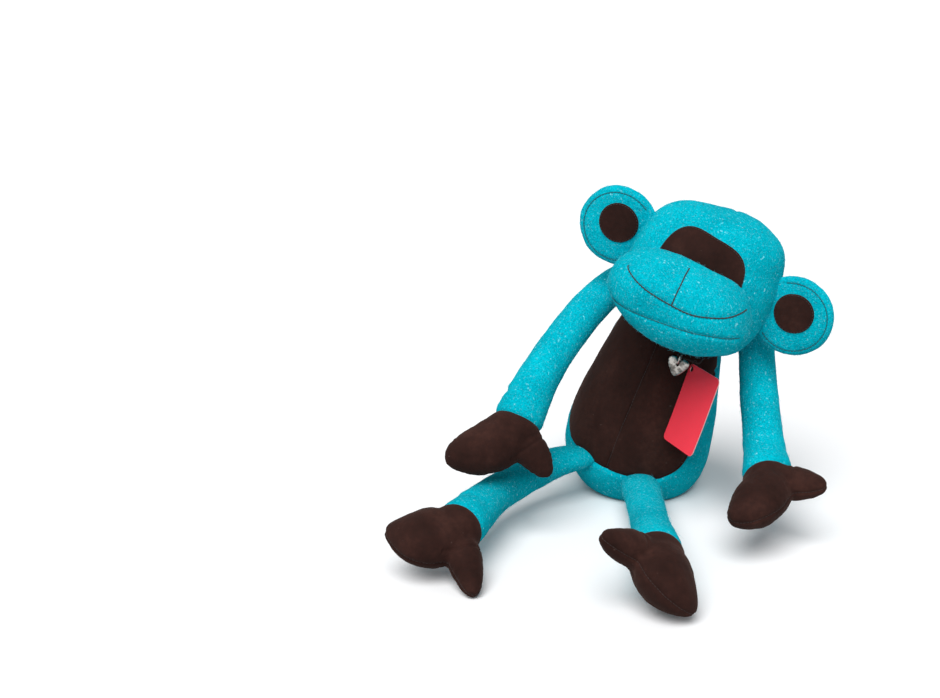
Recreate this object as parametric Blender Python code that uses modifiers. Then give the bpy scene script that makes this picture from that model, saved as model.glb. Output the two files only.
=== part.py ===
"""A seated stuffed monkey of wool felt and suede: sewn skins over fibre filling, with a hung card and charm.

Metres, +Z up. The toy faces -Y, its left side is +X, and the origin is the middle of its flat seat.
"""

import math
from collections import namedtuple

import bmesh
import bpy
from mathutils import Matrix, Vector

MM = 0.001
DEG = math.pi / 180

# Cloth and clearances
FELT = 2.5 * MM
SUEDE = 1.6 * MM
PATCH = 1.2 * MM
GAP = 0.3 * MM

# Torso: a pear that leans to the toy's left
TORSO_LEAN = 17 * DEG
BELLY_OFFSET = -23 * MM
BELLY_HEIGHT = 50 * MM
BELLY_WIDTH = 146 * MM
BELLY_DEPTH = 128 * MM
BELLY_DROP = 62 * MM
CHEST_WIDTH = 106 * MM
CHEST_DEPTH = 90 * MM
NECK_RISE = 134 * MM
NECK_RADIUS = 43 * MM
NECK_HOLE_RADIUS = 19 * MM
NECK_PLUG_DEPTH = 24 * MM

# Belly panel: a teardrop of suede let into the front of the torso, with a seam down its middle
PANEL_WIDTH = 130 * MM
PANEL_TOP_WIDTH = 88 * MM
PANEL_TOP = 134 * MM
PANEL_BOTTOM = -14 * MM
PANEL_SWAY = -8 * MM

# Head: a boxy ball seated on the front of the neck
HEAD_TILT = 24.5 * DEG
HEAD_YAW = 3 * DEG
HEAD_PITCH = 3 * DEG
HEAD_WIDTH = 140 * MM
HEAD_DEPTH = 100 * MM
HEAD_RISE = 67 * MM
HEAD_DROP = 50 * MM
HEAD_FORWARD = 40 * MM
HEAD_SIDE = 10 * MM
HEAD_ABOVE_NECK = 60 * MM

# Muzzle: a bag as wide as the head
MUZZLE_WIDTH = 138 * MM
MUZZLE_HEIGHT = 81 * MM
MUZZLE_DROP = 7.5 * MM
MUZZLE_REACH = 95 * MM
MUZZLE_SIDE = -4 * MM

# Face patch: half an oval of suede above the muzzle
PATCH_WIDTH = 82.5 * MM
PATCH_HEIGHT = 56.5 * MM
PATCH_SIDE = -1.2 * MM
PATCH_FULLNESS = 0.56

# Ears: two felt halves sewn round the rim, with a suede disc on the front
EAR_DIAMETER = 76 * MM
EAR_THICKNESS = 14 * MM
EAR_DISC_DIAMETER = 37 * MM
EAR_DISC_LIFT = 4.5 * MM
EAR_CHORD = 21 * MM
EAR_LIFT = 13 * MM
EAR_BACK = -4 * MM
EAR_WELT_RADIUS = 4 * MM
EAR_WELT_LENGTH = 44 * MM
EAR_WELT_SINK = 1.5 * MM
EAR_SWING_ROOM = 3 * MM

# Arms: felt sleeves from a round shoulder to the wrist seam
SHOULDER_OUT = 5.4 * MM
SHOULDER_RISE = 24 * MM
SHOULDER_BACK = 16 * MM
SHOULDER_RADIUS = 16 * MM
ARM_MID_RADIUS = 18 * MM
WRIST_RADIUS = 22.5 * MM

# Legs: felt sleeves from a flat hip seam to the ankle seam
HIP_SPREAD = 27 * DEG
HIP_TURN = -5 * DEG
HIP_DROP = 17 * MM
HIP_SEAM_WIDTH = 36 * MM
HIP_SEAM_RADIUS = 4 * MM
HIP_SWING_ROOM = 0.25 * MM
LEG_MID_RADIUS = 17 * MM
ANKLE_RADIUS = 22.5 * MM

# Mitts: hands and feet share one pattern, a main lobe and a thumb
MITT_MOUTH_RADIUS = 9 * MM
SLEEVE_END = 11 * MM
HAND_REACH = 69 * MM
HAND_ANGLE = -37 * DEG
HAND_WIDTH = 50 * MM
HAND_THICKNESS = 44 * MM
HAND_THUMB_REACH = 56 * MM
HAND_THUMB_ANGLE = 66 * DEG
FOOT_REACH = 62 * MM
FOOT_ANGLE = -48 * DEG
FOOT_WIDTH = 58 * MM
FOOT_THICKNESS = 48 * MM
FOOT_THUMB_REACH = 70 * MM
FOOT_THUMB_ANGLE = 52 * DEG
FOOT_TIP = 0.16
HAND_TIP = 0.28
THUMB_RADIUS = 14 * MM

# Card and charm, hung on a thread loop below the muzzle
LOOP_DROP = 18 * MM
LOOP_SIDE = 32 * MM
LOOP_WIDTH = 22 * MM
LOOP_REACH = 10 * MM
LOOP_CORNER = 3 * MM
LOOP_WIRE_RADIUS = 0.8 * MM
LOOP_ROOT = 1.8 * MM
HANG_SPREAD = 7 * MM
RING_RADIUS = 4.6 * MM
RING_WIRE_RADIUS = 0.7 * MM
HEART_WIDTH = 21 * MM
HEART_THICKNESS = 1.8 * MM
HEART_HOLE_RADIUS = 1.7 * MM
CHARM_LEAN = 15 * DEG
STRING_RADIUS = 0.5 * MM
STRING_DROP = 3.4 * MM
TAG_LENGTH = 76 * MM
TAG_WIDTH = 52 * MM
TAG_THICKNESS = 0.9 * MM
TAG_CORNER = 5 * MM
TAG_HOLE_RADIUS = 2.4 * MM
TAG_HOLE_EDGE = 5 * MM
TAG_LEAN = 14 * DEG
TAG_TURN = -45 * DEG

# Limb routes from the shoulder or hip, and the way each mitt points: out along the limb, and to its thumb
ARM_ROUTES = {
    "right": [(-21, -24, -6), (-38, -68, -27), (-57, -126, -67), (-66, -167, -109)],
    "left": [(23, -5, -11), (33, -36, -61), (48, -71, -107), (62, -109, -127)],
}
HAND_AIMS = {
    "right": [(-0.35, -0.56, -0.75), (0.87, 0.13, -0.47)],
    "left": [(0.36, -0.905, -0.18), (0.93, 0.35, 0.14)],
}
LEG_ROUTES = {
    "right": [(-18, -26, 3), (-38, -57, -5), (-47, -105, -4), (-46, -143, -3), (-47, -183, -5)],
    "left": [(11, -24, 2), (24, -54, 4), (48, -112, 8), (61, -143, 10), (73, -176, 12)],
}
FOOT_AIMS = {
    "right": [(-0.27, -0.90, -0.30), (0.87, -0.15, -0.42)],
    "left": [(0.20, -0.98, 0.03), (-0.77, 0, 0.64)],
}

SIDES = {"right": -1, "left": 1}
FAR = 0.4

Oval = namedtuple("Oval", "centre across through")


def turn(angle, axis):
    return Matrix.Rotation(angle, 4, axis)


def move(x, y, z):
    return Matrix.Translation((x, y, z))


# Scene, collections and materials

for old in list(bpy.data.objects):
    bpy.data.objects.remove(old)

parts = bpy.data.collections.new("stuffed_monkey")
cutters = bpy.data.collections.new("cutters")
bpy.context.scene.collection.children.link(parts)
bpy.context.scene.collection.children.link(cutters)


def material(name, colour, roughness, metallic=0.0):
    made = bpy.data.materials.new(name)
    made.use_nodes = True
    shader = made.node_tree.nodes["Principled BSDF"]
    shader.inputs["Base Color"].default_value = (*colour, 1.0)
    shader.inputs["Roughness"].default_value = roughness
    shader.inputs["Metallic"].default_value = metallic
    return made


FELT_BLUE = material("turquoise_felt", (0.01, 0.45, 0.55), 0.95)
SUEDE_BROWN = material("brown_suede", (0.035, 0.014, 0.011), 0.9)
FIBRE = material("white_fibre", (0.85, 0.85, 0.82), 1.0)
SILVER = material("silver", (0.72, 0.71, 0.69), 0.25, 1.0)
THREAD = material("dark_thread", (0.05, 0.02, 0.02), 0.8)
RED_CARD = material("red_card", (0.8, 0.03, 0.05), 0.45)


# Building tools

def new_object(name, bm, collection=cutters):
    mesh = bpy.data.meshes.new(name)
    bmesh.ops.recalc_face_normals(bm, faces=bm.faces)
    bm.to_mesh(mesh)
    bm.free()
    made = bpy.data.objects.new(name, mesh)
    collection.objects.link(made)
    if collection is cutters:
        made.hide_render = True
        made.display_type = "WIRE"
    return made


def hang(piece, parent):
    """Ties a piece to its joint's empty and leaves it where it is."""
    bpy.context.view_layer.update()
    piece.parent = parent
    piece.matrix_parent_inverse = parent.matrix_world.inverted()
    return piece


def dress(piece, surface, parent):
    piece.data.materials.clear()
    piece.data.materials.append(surface)
    if piece.type == "MESH":
        piece.data.shade_smooth()
    return hang(piece, parent)


def pivot(name, place, parent=None):
    """An empty on a joint's axis, which the pieces of its body hang on."""
    empty = bpy.data.objects.new(name, None)
    empty.empty_display_size = 0.02
    parts.objects.link(empty)
    empty.matrix_world = place
    return hang(empty, parent) if parent else empty


def boolean(piece, operation, *others):
    for other in others:
        step = piece.modifiers.new(operation.lower(), "BOOLEAN")
        step.operation = operation
        step.solver = "MANIFOLD"
        step.object = other
    return piece


def cut(piece, *others):
    return boolean(piece, "DIFFERENCE", *others)


def mixed(*weighted):
    """A weighted sum of ovals."""
    return Oval(*(sum((w * o[k] for o, w in weighted), Vector((0, 0, 0))) for k in range(3)))


def settled(ovals, flat_end=False):
    """The ovals that the rounded form really passes through, once subdivision has smoothed the cage."""
    made = [mixed((a, 1 / 8), (b, 6 / 8), (c, 1 / 8)) for a, b, c in zip(ovals, ovals[1:], ovals[2:])]

    def end(tip, inner):
        rim = mixed((tip, 2 / 3), (inner, 2 / 9))
        return rim._replace(centre=tip.centre.lerp(inner.centre, 2 / 9))

    last = ovals[-1] if flat_end else end(ovals[-1], ovals[-2])
    return [end(ovals[0], ovals[1])] + made + [last]


def smaller(half, inset):
    return half.normalized() * (half.length - inset)


def drawn_in(ovals, inset):
    """The same ovals for a form that lies inside by inset, with both ends drawn in as well."""
    made = [Oval(o.centre, smaller(o.across, inset), smaller(o.through, inset)) for o in ovals]
    for end, inner in ((0, 1), (-1, -2)):
        inward = (ovals[inner].centre - ovals[end].centre).normalized()
        made[end] = made[end]._replace(centre=ovals[end].centre + inward * inset)
    return made


def cage(name, ovals, sides, collection, flat_end=False, plain=False):
    """A closed tube of faces through the ovals. A plain one is split alike each time, so two can nest."""
    bm = bmesh.new()
    rings = []
    for oval in ovals:
        angles = [2 * math.pi * (k + 0.5) / sides for k in range(sides)]
        spots = [oval.centre + math.cos(a) * oval.across + math.sin(a) * oval.through for a in angles]
        rings.append([bm.verts.new(spot) for spot in spots])
    for low, high in zip(rings, rings[1:]):
        for k in range(sides):
            after = (k + 1) % sides
            corners = (low[k], low[after], high[after], high[k])
            halves = (corners[:3], (corners[0], *corners[2:]))
            for face in halves if plain else (corners,):
                bm.faces.new(face)
    bm.faces.new(rings[0])
    end = bm.faces.new(rings[-1])
    if flat_end:
        crease = bm.edges.layers.float.new("crease_edge")
        for edge in end.edges:
            edge[crease] = 1.0
    return new_object(name, bm, collection)


def soft_form(name, ovals, sides, collection=cutters, flat_end=False, inset=0.0):
    """A swelling form: a coarse cage round the ovals, rounded by subdivision."""
    gain = 3 / (2 + math.cos(2 * math.pi / sides))
    sized = [Oval(o.centre, gain * o.across, gain * o.through) for o in drawn_in(ovals, inset)]
    made = cage(name, sized, sides, collection, flat_end)
    rounding = made.modifiers.new("rounding", "SUBSURF")
    rounding.levels = 1
    rounding.render_levels = 1
    return made


def inner_form(name, ovals, sides, inset, collection=cutters, flat_end=False, run_out=0.0):
    """A plain form inside a swelling one. run_out carries its last end on, through an open rim."""
    inner = drawn_in(settled(ovals, flat_end), inset)
    if run_out:
        onward = (ovals[-1].centre - ovals[-2].centre).normalized()
        inner.append(inner[-1]._replace(centre=ovals[-1].centre + onward * run_out))
    return cage(name, inner, sides, collection, plain=True)


def ball(name, centre, radius):
    """A round cutter, whose flats lie at the radius."""
    around = 20
    bm = bmesh.new()
    corner = radius / math.cos(math.pi / around) ** 2
    place = Matrix.Translation(centre)
    bmesh.ops.create_uvsphere(bm, u_segments=around, v_segments=around // 2 + 2, radius=corner, matrix=place)
    return new_object(name, bm)


def rod(name, start, end, radius, collection=cutters, segments=20):
    """A round bar from start to end."""
    run = end - start
    place = Matrix.Translation((start + end) / 2) @ run.to_track_quat("Z", "Y").to_matrix().to_4x4()
    bm = bmesh.new()
    bmesh.ops.create_cone(
        bm, cap_ends=True, segments=segments, radius1=radius, radius2=radius, depth=run.length, matrix=place
    )
    return new_object(name, bm, collection)


def block(name, low, high, place=Matrix.Identity(4), collection=cutters):
    bm = bmesh.new()
    size = Vector(high) - Vector(low)
    middle = Matrix.Translation((Vector(low) + Vector(high)) / 2)
    bmesh.ops.create_cube(bm, size=1.0, matrix=place @ middle @ Matrix.Diagonal((*size, 1.0)))
    return new_object(name, bm, collection)


def prism(name, points, place, half_depth, collection=cutters, handles="AUTO", steps=6):
    """A closed outline in the plane of place, pushed out to both sides: a filled 2D curve as a mesh."""
    curve = bpy.data.curves.new(name, "CURVE")
    curve.dimensions = "2D"
    curve.fill_mode = "BOTH"
    curve.extrude = half_depth
    curve.resolution_u = steps
    line = curve.splines.new("BEZIER")
    line.bezier_points.add(len(points) - 1)
    for spot, (x, y) in zip(line.bezier_points, points):
        spot.co = (x, y, 0)
        spot.handle_left_type = handles
        spot.handle_right_type = handles
    line.use_cyclic_u = True
    guide = bpy.data.objects.new(name + "_outline", curve)
    parts.objects.link(guide)
    shape = bpy.data.meshes.new_from_object(guide.evaluated_get(bpy.context.evaluated_depsgraph_get()))
    bpy.data.objects.remove(guide)
    bm = bmesh.new()
    bm.from_mesh(shape)
    bmesh.ops.remove_doubles(bm, verts=bm.verts, dist=1e-6)
    bmesh.ops.transform(bm, matrix=place, verts=bm.verts)
    return new_object(name, bm, collection)


def wire(name, points, radius, closed):
    """A thin round wire through the points."""
    curve = bpy.data.curves.new(name, "CURVE")
    curve.dimensions = "3D"
    curve.bevel_depth = radius
    curve.bevel_resolution = 1
    curve.use_fill_caps = True
    line = curve.splines.new("POLY")
    line.points.add(len(points) - 1)
    for spot, point in zip(line.points, points):
        spot.co = (*point, 1.0)
    line.use_cyclic_u = closed
    made = bpy.data.objects.new(name, curve)
    parts.objects.link(made)
    return made


def arc(centre, x_axis, y_axis, start, end, steps):
    """Points on an arc from start to end, both ends included."""
    angles = [start + (end - start) * k / steps for k in range(steps + 1)]
    return [Vector(centre) + math.cos(a) * Vector(x_axis) + math.sin(a) * Vector(y_axis) for a in angles]


def placed_oval(place, centre, across, through):
    turned = place.to_3x3()
    return Oval(place @ Vector(centre), turned @ Vector(across), turned @ Vector(through))


# Torso frame: x to the toy's left, z up the leaning axis, origin in the middle of the belly

TORSO = move(BELLY_OFFSET, 0, BELLY_HEIGHT) @ turn(TORSO_LEAN, "Y")
TORSO_SIDES = 12
NECK = TORSO @ Vector((0, 0, NECK_RISE))
UP_NECK = TORSO.to_3x3() @ Vector((0, 0, 1))
FRONT = turn(math.pi / 2, "X")


def torso_oval(height, belly_share, chest_share):
    half_width = (belly_share * BELLY_WIDTH + chest_share * CHEST_WIDTH) / 2
    half_depth = (belly_share * BELLY_DEPTH + chest_share * CHEST_DEPTH) / 2
    return placed_oval(TORSO, (0, 0, height), (half_width, 0, 0), (0, half_depth, 0))


def neck_oval(angle):
    """A ring of the round top of the torso, at this angle from its pole."""
    radius = NECK_RADIUS * math.sin(angle)
    height = NECK_RISE + NECK_RADIUS * math.cos(angle)
    return placed_oval(TORSO, (0, 0, height), (radius, 0, 0), (0, radius, 0))


TORSO_OVALS = [
    torso_oval(-BELLY_DROP, 0.46, 0),
    torso_oval(-0.78 * BELLY_DROP, 0.76, 0),
    torso_oval(-0.38 * BELLY_DROP, 0.97, 0),
    torso_oval(0.04 * NECK_RISE, 1.01, 0),
    torso_oval(0.30 * NECK_RISE, 0.95, 0),
    torso_oval(0.60 * NECK_RISE, 0.42, 0.56),
    torso_oval(0.86 * NECK_RISE, 0, 1),
    neck_oval(80 * DEG),
    neck_oval(50 * DEG),
    neck_oval(22 * DEG),
]


def shoulder(side):
    return TORSO @ Vector((side * (NECK_RADIUS + SHOULDER_OUT), SHOULDER_BACK, NECK_RISE + SHOULDER_RISE))


def hip(side):
    """Frame of a hip seam on the belly's skin: x along the seam, -y out of the belly."""
    angle = HIP_TURN + side * HIP_SPREAD
    half_width = 0.96 * BELLY_WIDTH / 2
    half_depth = 0.96 * BELLY_DEPTH / 2
    spot = Vector((half_width * math.sin(angle), -half_depth * math.cos(angle), -HIP_DROP))
    outward = TORSO.to_3x3() @ Vector((spot.x / half_width ** 2, spot.y / half_depth ** 2, 0))
    outward.z = 0
    outward.normalize()
    seam = Vector((-outward.y, outward.x, 0))
    place = Matrix((seam, -outward, Vector((0, 0, 1)))).transposed().to_4x4()
    place.translation = TORSO @ spot
    return place


def hip_slot(side):
    """A flat round slot, in which the leg's sewn end turns sideways."""
    half = Vector((0, 0, HIP_SEAM_RADIUS + HIP_SWING_ROOM))
    radius = HIP_SEAM_WIDTH / 2 + HIP_SWING_ROOM
    return rod("hip_slot", hip(side) @ -half, hip(side) @ half, radius, segments=28)


root = pivot("seat", Matrix.Identity(4))
floor = block("floor", (-FAR, -FAR, -FAR), (FAR, FAR, 0))
raised_floor = block("raised_floor", (-FAR, -FAR, -FAR), (FAR, FAR, FELT + GAP))
hollow_floor = block("hollow_floor", (-FAR, -FAR, -FAR), (FAR, FAR, FELT))
torso_hollow = cut(inner_form("torso_hollow", TORSO_OVALS, TORSO_SIDES, FELT), hollow_floor)
neck_socket = rod(
    "neck_socket",
    NECK + UP_NECK * (NECK_RADIUS - NECK_PLUG_DEPTH - GAP),
    NECK + UP_NECK * NECK_RADIUS * 1.2,
    NECK_HOLE_RADIUS + GAP,
)
joint_cutters = [ball("shoulder_socket", shoulder(side), SHOULDER_RADIUS + GAP) for side in SIDES.values()]
joint_cutters += [hip_slot(side) for side in SIDES.values()]


# Loop: a thread staple through the skin, which the card and the charm hang on

def chest_depth(across):
    return CHEST_DEPTH / 2 * math.sqrt(1 - (2 * across / CHEST_WIDTH) ** 2)


BRIDGE = TORSO @ move(LOOP_SIDE, -chest_depth(LOOP_SIDE) - LOOP_REACH, PANEL_TOP - LOOP_DROP)


def loop_root(end):
    """Where one leg of the loop ends inside the cloth, in the bridge's frame."""
    across = end * LOOP_WIDTH / 2
    deeper = chest_depth(LOOP_SIDE) - chest_depth(LOOP_SIDE + across)
    return Vector((across, deeper + LOOP_REACH + LOOP_ROOT, 0))


def loop_points():
    inset = LOOP_WIDTH / 2 - LOOP_CORNER
    x_axis = Vector((LOOP_CORNER, 0, 0))
    y_axis = Vector((0, LOOP_CORNER, 0))
    right = arc((-inset, LOOP_CORNER, 0), x_axis, y_axis, math.pi, 1.5 * math.pi, 3)
    left = arc((inset, LOOP_CORNER, 0), x_axis, y_axis, 1.5 * math.pi, 2 * math.pi, 3)
    return [loop_root(-1)] + right + left + [loop_root(1)]


loop_holes = []
for end in (-1, 1):
    bottom = loop_root(end) + Vector((0, GAP, 0))
    top = Vector((bottom.x, LOOP_CORNER, 0))
    loop_holes.append(rod("loop_hole", BRIDGE @ bottom, BRIDGE @ top, LOOP_WIRE_RADIUS + GAP, segments=12))

hang_loop = wire("hang_loop", [BRIDGE @ point for point in loop_points()], LOOP_WIRE_RADIUS, False)
dress(hang_loop, THREAD, root)


# Belly panel: its outline lies in the torso's x-z plane, seen from the front

def panel_middle(height):
    return PANEL_SWAY * (PANEL_TOP - height) / (PANEL_TOP - PANEL_BOTTOM)


def panel_outline(margin):
    """The teardrop, down its right edge and up its left edge."""
    heights = [PANEL_TOP, 0.55 * PANEL_TOP, 0.12 * PANEL_TOP, 0.42 * PANEL_BOTTOM, 0.85 * PANEL_BOTTOM]
    widths = [PANEL_TOP_WIDTH, 0.90 * PANEL_WIDTH, PANEL_WIDTH, 0.80 * PANEL_WIDTH, 0.46 * PANEL_WIDTH]
    edge = [(width / 2 + margin, height) for width, height in zip(widths, heights)]
    right = [(panel_middle(height) - half, height) for half, height in edge]
    left = [(panel_middle(height) + half, height) for half, height in reversed(edge)]
    return right + [(panel_middle(PANEL_BOTTOM), PANEL_BOTTOM - margin)] + left


def panel_prism(name, margin):
    place = TORSO @ move(0, -FAR / 2 - 0.06 * BELLY_DEPTH, 0) @ FRONT
    return prism(name, panel_outline(margin), place, FAR / 2)


panel_window = panel_prism("panel_window", GAP)
panel_shape = panel_prism("panel_shape", 0)
seam_slope = turn(math.atan2(-PANEL_SWAY, PANEL_TOP - PANEL_BOTTOM), "Y")
seam_plane = TORSO @ move(0, 0, PANEL_TOP) @ seam_slope

for name, side in SIDES.items():
    low, high = sorted((-side * FAR, side * GAP / 2))
    other_half = block("other_half", (low, -FAR, -FAR), (high, FAR, FAR), seam_plane)
    panel = soft_form("belly_panel_" + name, TORSO_OVALS, TORSO_SIDES, parts)
    boolean(panel, "INTERSECT", panel_shape)
    cut(panel, other_half, torso_hollow, *joint_cutters)
    if name == "left":
        cut(panel, *loop_holes)
    dress(panel, SUEDE_BROWN, root)

torso_skin = soft_form("torso_skin", TORSO_OVALS, TORSO_SIDES, parts)
cut(torso_skin, floor, torso_hollow, neck_socket, *joint_cutters, panel_window)
dress(torso_skin, FELT_BLUE, root)

torso_filling = inner_form("torso_filling", TORSO_OVALS, TORSO_SIDES, FELT + GAP, parts)
cut(torso_filling, raised_floor, neck_socket, *joint_cutters)
dress(torso_filling, FIBRE, root)


# Neck: a plug of filling in the torso's round top, under the head's hollow seat

neck_turn = pivot("neck_turn", Matrix.Translation(NECK) @ turn(TORSO_LEAN, "Y"), root)
plug_rise = math.sqrt(NECK_RADIUS ** 2 - NECK_HOLE_RADIUS ** 2)
cap_angle = math.asin(NECK_HOLE_RADIUS / NECK_RADIUS)
plug_side = arc((0, 0, 0), (0, 0, NECK_RADIUS), (NECK_RADIUS, 0, 0), 0, cap_angle, 4)
plug_foot = NECK_RADIUS - NECK_PLUG_DEPTH
bm = bmesh.new()
profile = plug_side + [Vector((NECK_HOLE_RADIUS, 0, plug_foot)), Vector((0, 0, plug_foot))]
spots = [bm.verts.new(point) for point in profile]
for upper, lower in zip(spots, spots[1:]):
    bm.edges.new((upper, lower))
neck_filling = new_object("neck_filling", bm, parts)
spin = neck_filling.modifiers.new("spin", "SCREW")
spin.steps = 24
spin.render_steps = 24
spin.use_merge_vertices = True
spin.merge_threshold = 0.00001
neck_filling.matrix_world = neck_turn.matrix_world.copy()
dress(neck_filling, FIBRE, neck_turn)


# Head frame: x to the toy's left, -y out of the face, origin in the middle of the skull

HEAD_TURN = turn(HEAD_YAW, "Z") @ turn(HEAD_TILT, "Y") @ turn(HEAD_PITCH, "X")
HEAD = Matrix.Translation(NECK + HEAD_TURN @ Vector((HEAD_SIDE, -HEAD_FORWARD, HEAD_ABOVE_NECK))) @ HEAD_TURN
HEAD_SIDES = 12
MUZZLE_SIDES = 12


def head_oval(height, width_share, depth_share, back_share):
    half_width = width_share * HEAD_WIDTH / 2
    half_depth = depth_share * HEAD_DEPTH / 2
    return placed_oval(HEAD, (0, back_share * HEAD_DEPTH, height), (half_width, 0, 0), (0, half_depth, 0))


HEAD_OVALS = [
    head_oval(-HEAD_DROP, 0.62, 0.42, -0.22),
    head_oval(-0.84 * HEAD_DROP, 0.88, 0.68, -0.15),
    head_oval(-0.34 * HEAD_DROP, 1.0, 0.94, -0.04),
    head_oval(0.18 * HEAD_RISE, 1.02, 1.02, 0),
    head_oval(0.60 * HEAD_RISE, 0.96, 0.92, 0.02),
    head_oval(0.90 * HEAD_RISE, 0.70, 0.64, 0.02),
    head_oval(HEAD_RISE, 0.36, 0.30, 0.02),
]


def muzzle_oval(reach_share, width_share, height_share):
    half_width = width_share * MUZZLE_WIDTH / 2
    half_height = height_share * MUZZLE_HEIGHT / 2
    centre = (MUZZLE_SIDE, -reach_share * MUZZLE_REACH, -MUZZLE_DROP)
    return placed_oval(HEAD, centre, (half_width, 0, 0), (0, 0, half_height))


MUZZLE_OVALS = [
    muzzle_oval(0.14, 0.86, 0.80),
    muzzle_oval(0.46, 1.01, 1.01),
    muzzle_oval(0.74, 0.95, 0.93),
    muzzle_oval(0.92, 0.72, 0.68),
    muzzle_oval(1.0, 0.38, 0.32),
]

neck_tilt = pivot("neck_tilt", Matrix.Translation(NECK) @ turn(HEAD_YAW, "Z"), neck_turn)
head_seat = ball("head_seat", NECK, NECK_RADIUS + GAP)
head_hollow = inner_form("head_hollow", HEAD_OVALS, HEAD_SIDES, FELT)
head_clearance = soft_form("head_clearance", HEAD_OVALS, HEAD_SIDES, inset=-1.5 * GAP)
torso_clearance = soft_form("torso_clearance", TORSO_OVALS, TORSO_SIDES, inset=-1.5 * GAP)


def ear_hinge(side):
    return HEAD @ move(side * (HEAD_WIDTH / 2 - EAR_WELT_SINK), EAR_BACK, EAR_LIFT)


def ear_welt(name, side, clearance):
    half = Vector((0, 0, EAR_WELT_LENGTH / 2 + clearance))
    place = ear_hinge(side)
    return rod(name, place @ -half, place @ half, EAR_WELT_RADIUS + clearance, segments=16)


ear_grooves = [ear_welt("ear_groove", side, GAP) for side in SIDES.values()]

head_skin = soft_form("head_skin", HEAD_OVALS, HEAD_SIDES, parts)
cut(head_skin, head_hollow, head_seat, torso_clearance, *ear_grooves)
dress(head_skin, FELT_BLUE, neck_tilt)

head_filling = inner_form("head_filling", HEAD_OVALS, HEAD_SIDES, FELT + GAP, parts)
cut(head_filling, head_seat, torso_clearance, *ear_grooves)
dress(head_filling, FIBRE, neck_tilt)

muzzle_skin = soft_form("muzzle_skin", MUZZLE_OVALS, MUZZLE_SIDES, parts)
muzzle_hollow = inner_form("muzzle_hollow", MUZZLE_OVALS, MUZZLE_SIDES, FELT)
cut(muzzle_skin, muzzle_hollow, head_clearance)
dress(muzzle_skin, FELT_BLUE, neck_tilt)

muzzle_filling = inner_form("muzzle_filling", MUZZLE_OVALS, MUZZLE_SIDES, FELT + GAP, parts)
cut(muzzle_filling, head_clearance)
dress(muzzle_filling, FIBRE, neck_tilt)


# Face patch: a suede half oval on the front of the head, its foot tucked behind the muzzle

def patch_outline():
    """A half oval with full shoulders."""
    made = []
    for step in range(13):
        angle = math.pi * step / 12
        across = math.copysign(abs(math.cos(angle)) ** PATCH_FULLNESS, math.cos(angle))
        made.append((across * PATCH_WIDTH / 2, math.sin(angle) ** PATCH_FULLNESS * PATCH_HEIGHT))
    return made


patch_place = HEAD @ move(PATCH_SIDE, -FAR / 2, 0) @ FRONT
patch_shape = prism("patch_shape", patch_outline(), patch_place, FAR / 2, handles="VECTOR")
muzzle_clearance = soft_form("muzzle_clearance", MUZZLE_OVALS, MUZZLE_SIDES, inset=-GAP)
face_patch = soft_form("face_patch", HEAD_OVALS, HEAD_SIDES, parts, inset=-GAP - PATCH)
boolean(face_patch, "INTERSECT", patch_shape)
cut(face_patch, head_clearance, muzzle_clearance)
dress(face_patch, SUEDE_BROWN, neck_tilt)


# Ears

EAR_SIDES = 12


def ear_ovals(place, side, facing):
    """One half of an ear: a shallow dome with its flat side in the ear's middle plane."""
    radius = EAR_DIAMETER / 2
    profile = [(0.50, 0.52), (0.41, 0.80), (0.20, 0.97)]
    rings = [(facing * depth * EAR_THICKNESS, share * radius) for depth, share in profile]
    rings.append((facing * GAP / 2, radius))
    return [placed_oval(place, (side * EAR_CHORD, y, 0), (r, 0, 0), (0, 0, r)) for y, r in rings]


for name, side in SIDES.items():
    place = ear_hinge(side)
    fold = pivot("ear_fold_" + name, place, neck_tilt)
    low, high = sorted((-side * FAR, side * EAR_SWING_ROOM))
    head_side = block("head_side", (low, -FAR, -FAR), (high, FAR, FAR), place)
    front = ear_ovals(place, side, -1)

    ear_front = soft_form("ear_front_" + name, front, EAR_SIDES, parts, flat_end=True)
    cut(ear_front, head_side, ear_welt("welt_room", side, GAP))
    dress(ear_front, FELT_BLUE, fold)

    ear_back = soft_form("ear_back_" + name, ear_ovals(place, side, 1), EAR_SIDES, parts, flat_end=True)
    cut(ear_back, head_side)
    boolean(ear_back, "UNION", ear_welt("welt", side, 0))
    dress(ear_back, FELT_BLUE, fold)

    middle = Vector((side * EAR_CHORD, -0.3 * EAR_THICKNESS, EAR_DISC_LIFT))
    outside = middle - Vector((0, EAR_THICKNESS, 0))
    disc_shape = rod("disc_shape", place @ middle, place @ outside, EAR_DISC_DIAMETER / 2, segments=28)
    ear_disc = soft_form("ear_disc_" + name, front, EAR_SIDES, parts, flat_end=True, inset=-GAP - PATCH)
    boolean(ear_disc, "INTERSECT", disc_shape)
    cut(ear_disc, soft_form("ear_clearance", front, EAR_SIDES, flat_end=True, inset=-GAP))
    dress(ear_disc, SUEDE_BROWN, fold)


# Limbs: sleeves open at the wrist or ankle

LIMB_SIDES = 8


def route_ovals(points, sizes):
    """Ovals square to a route: sizes holds each one's half width and half height."""
    made = []
    for k, (point, (half_width, half_height)) in enumerate(zip(points, sizes)):
        before = points[max(k - 1, 0)]
        after = points[min(k + 1, len(points) - 1)]
        along = (after - before).normalized()
        across = along.cross(Vector((0, 0, 1))).normalized()
        made.append(Oval(point, across * half_width, across.cross(along) * half_height))
    return made


def shifted(start, route):
    return [start] + [start + Vector(step) * MM for step in route]


def ended_at_rim(points):
    """The route cut back to the sleeve's rim, just short of the joint."""
    along = (points[-1] - points[-2]).normalized()
    return points[:-1] + [points[-1] - along * SLEEVE_END]


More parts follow.
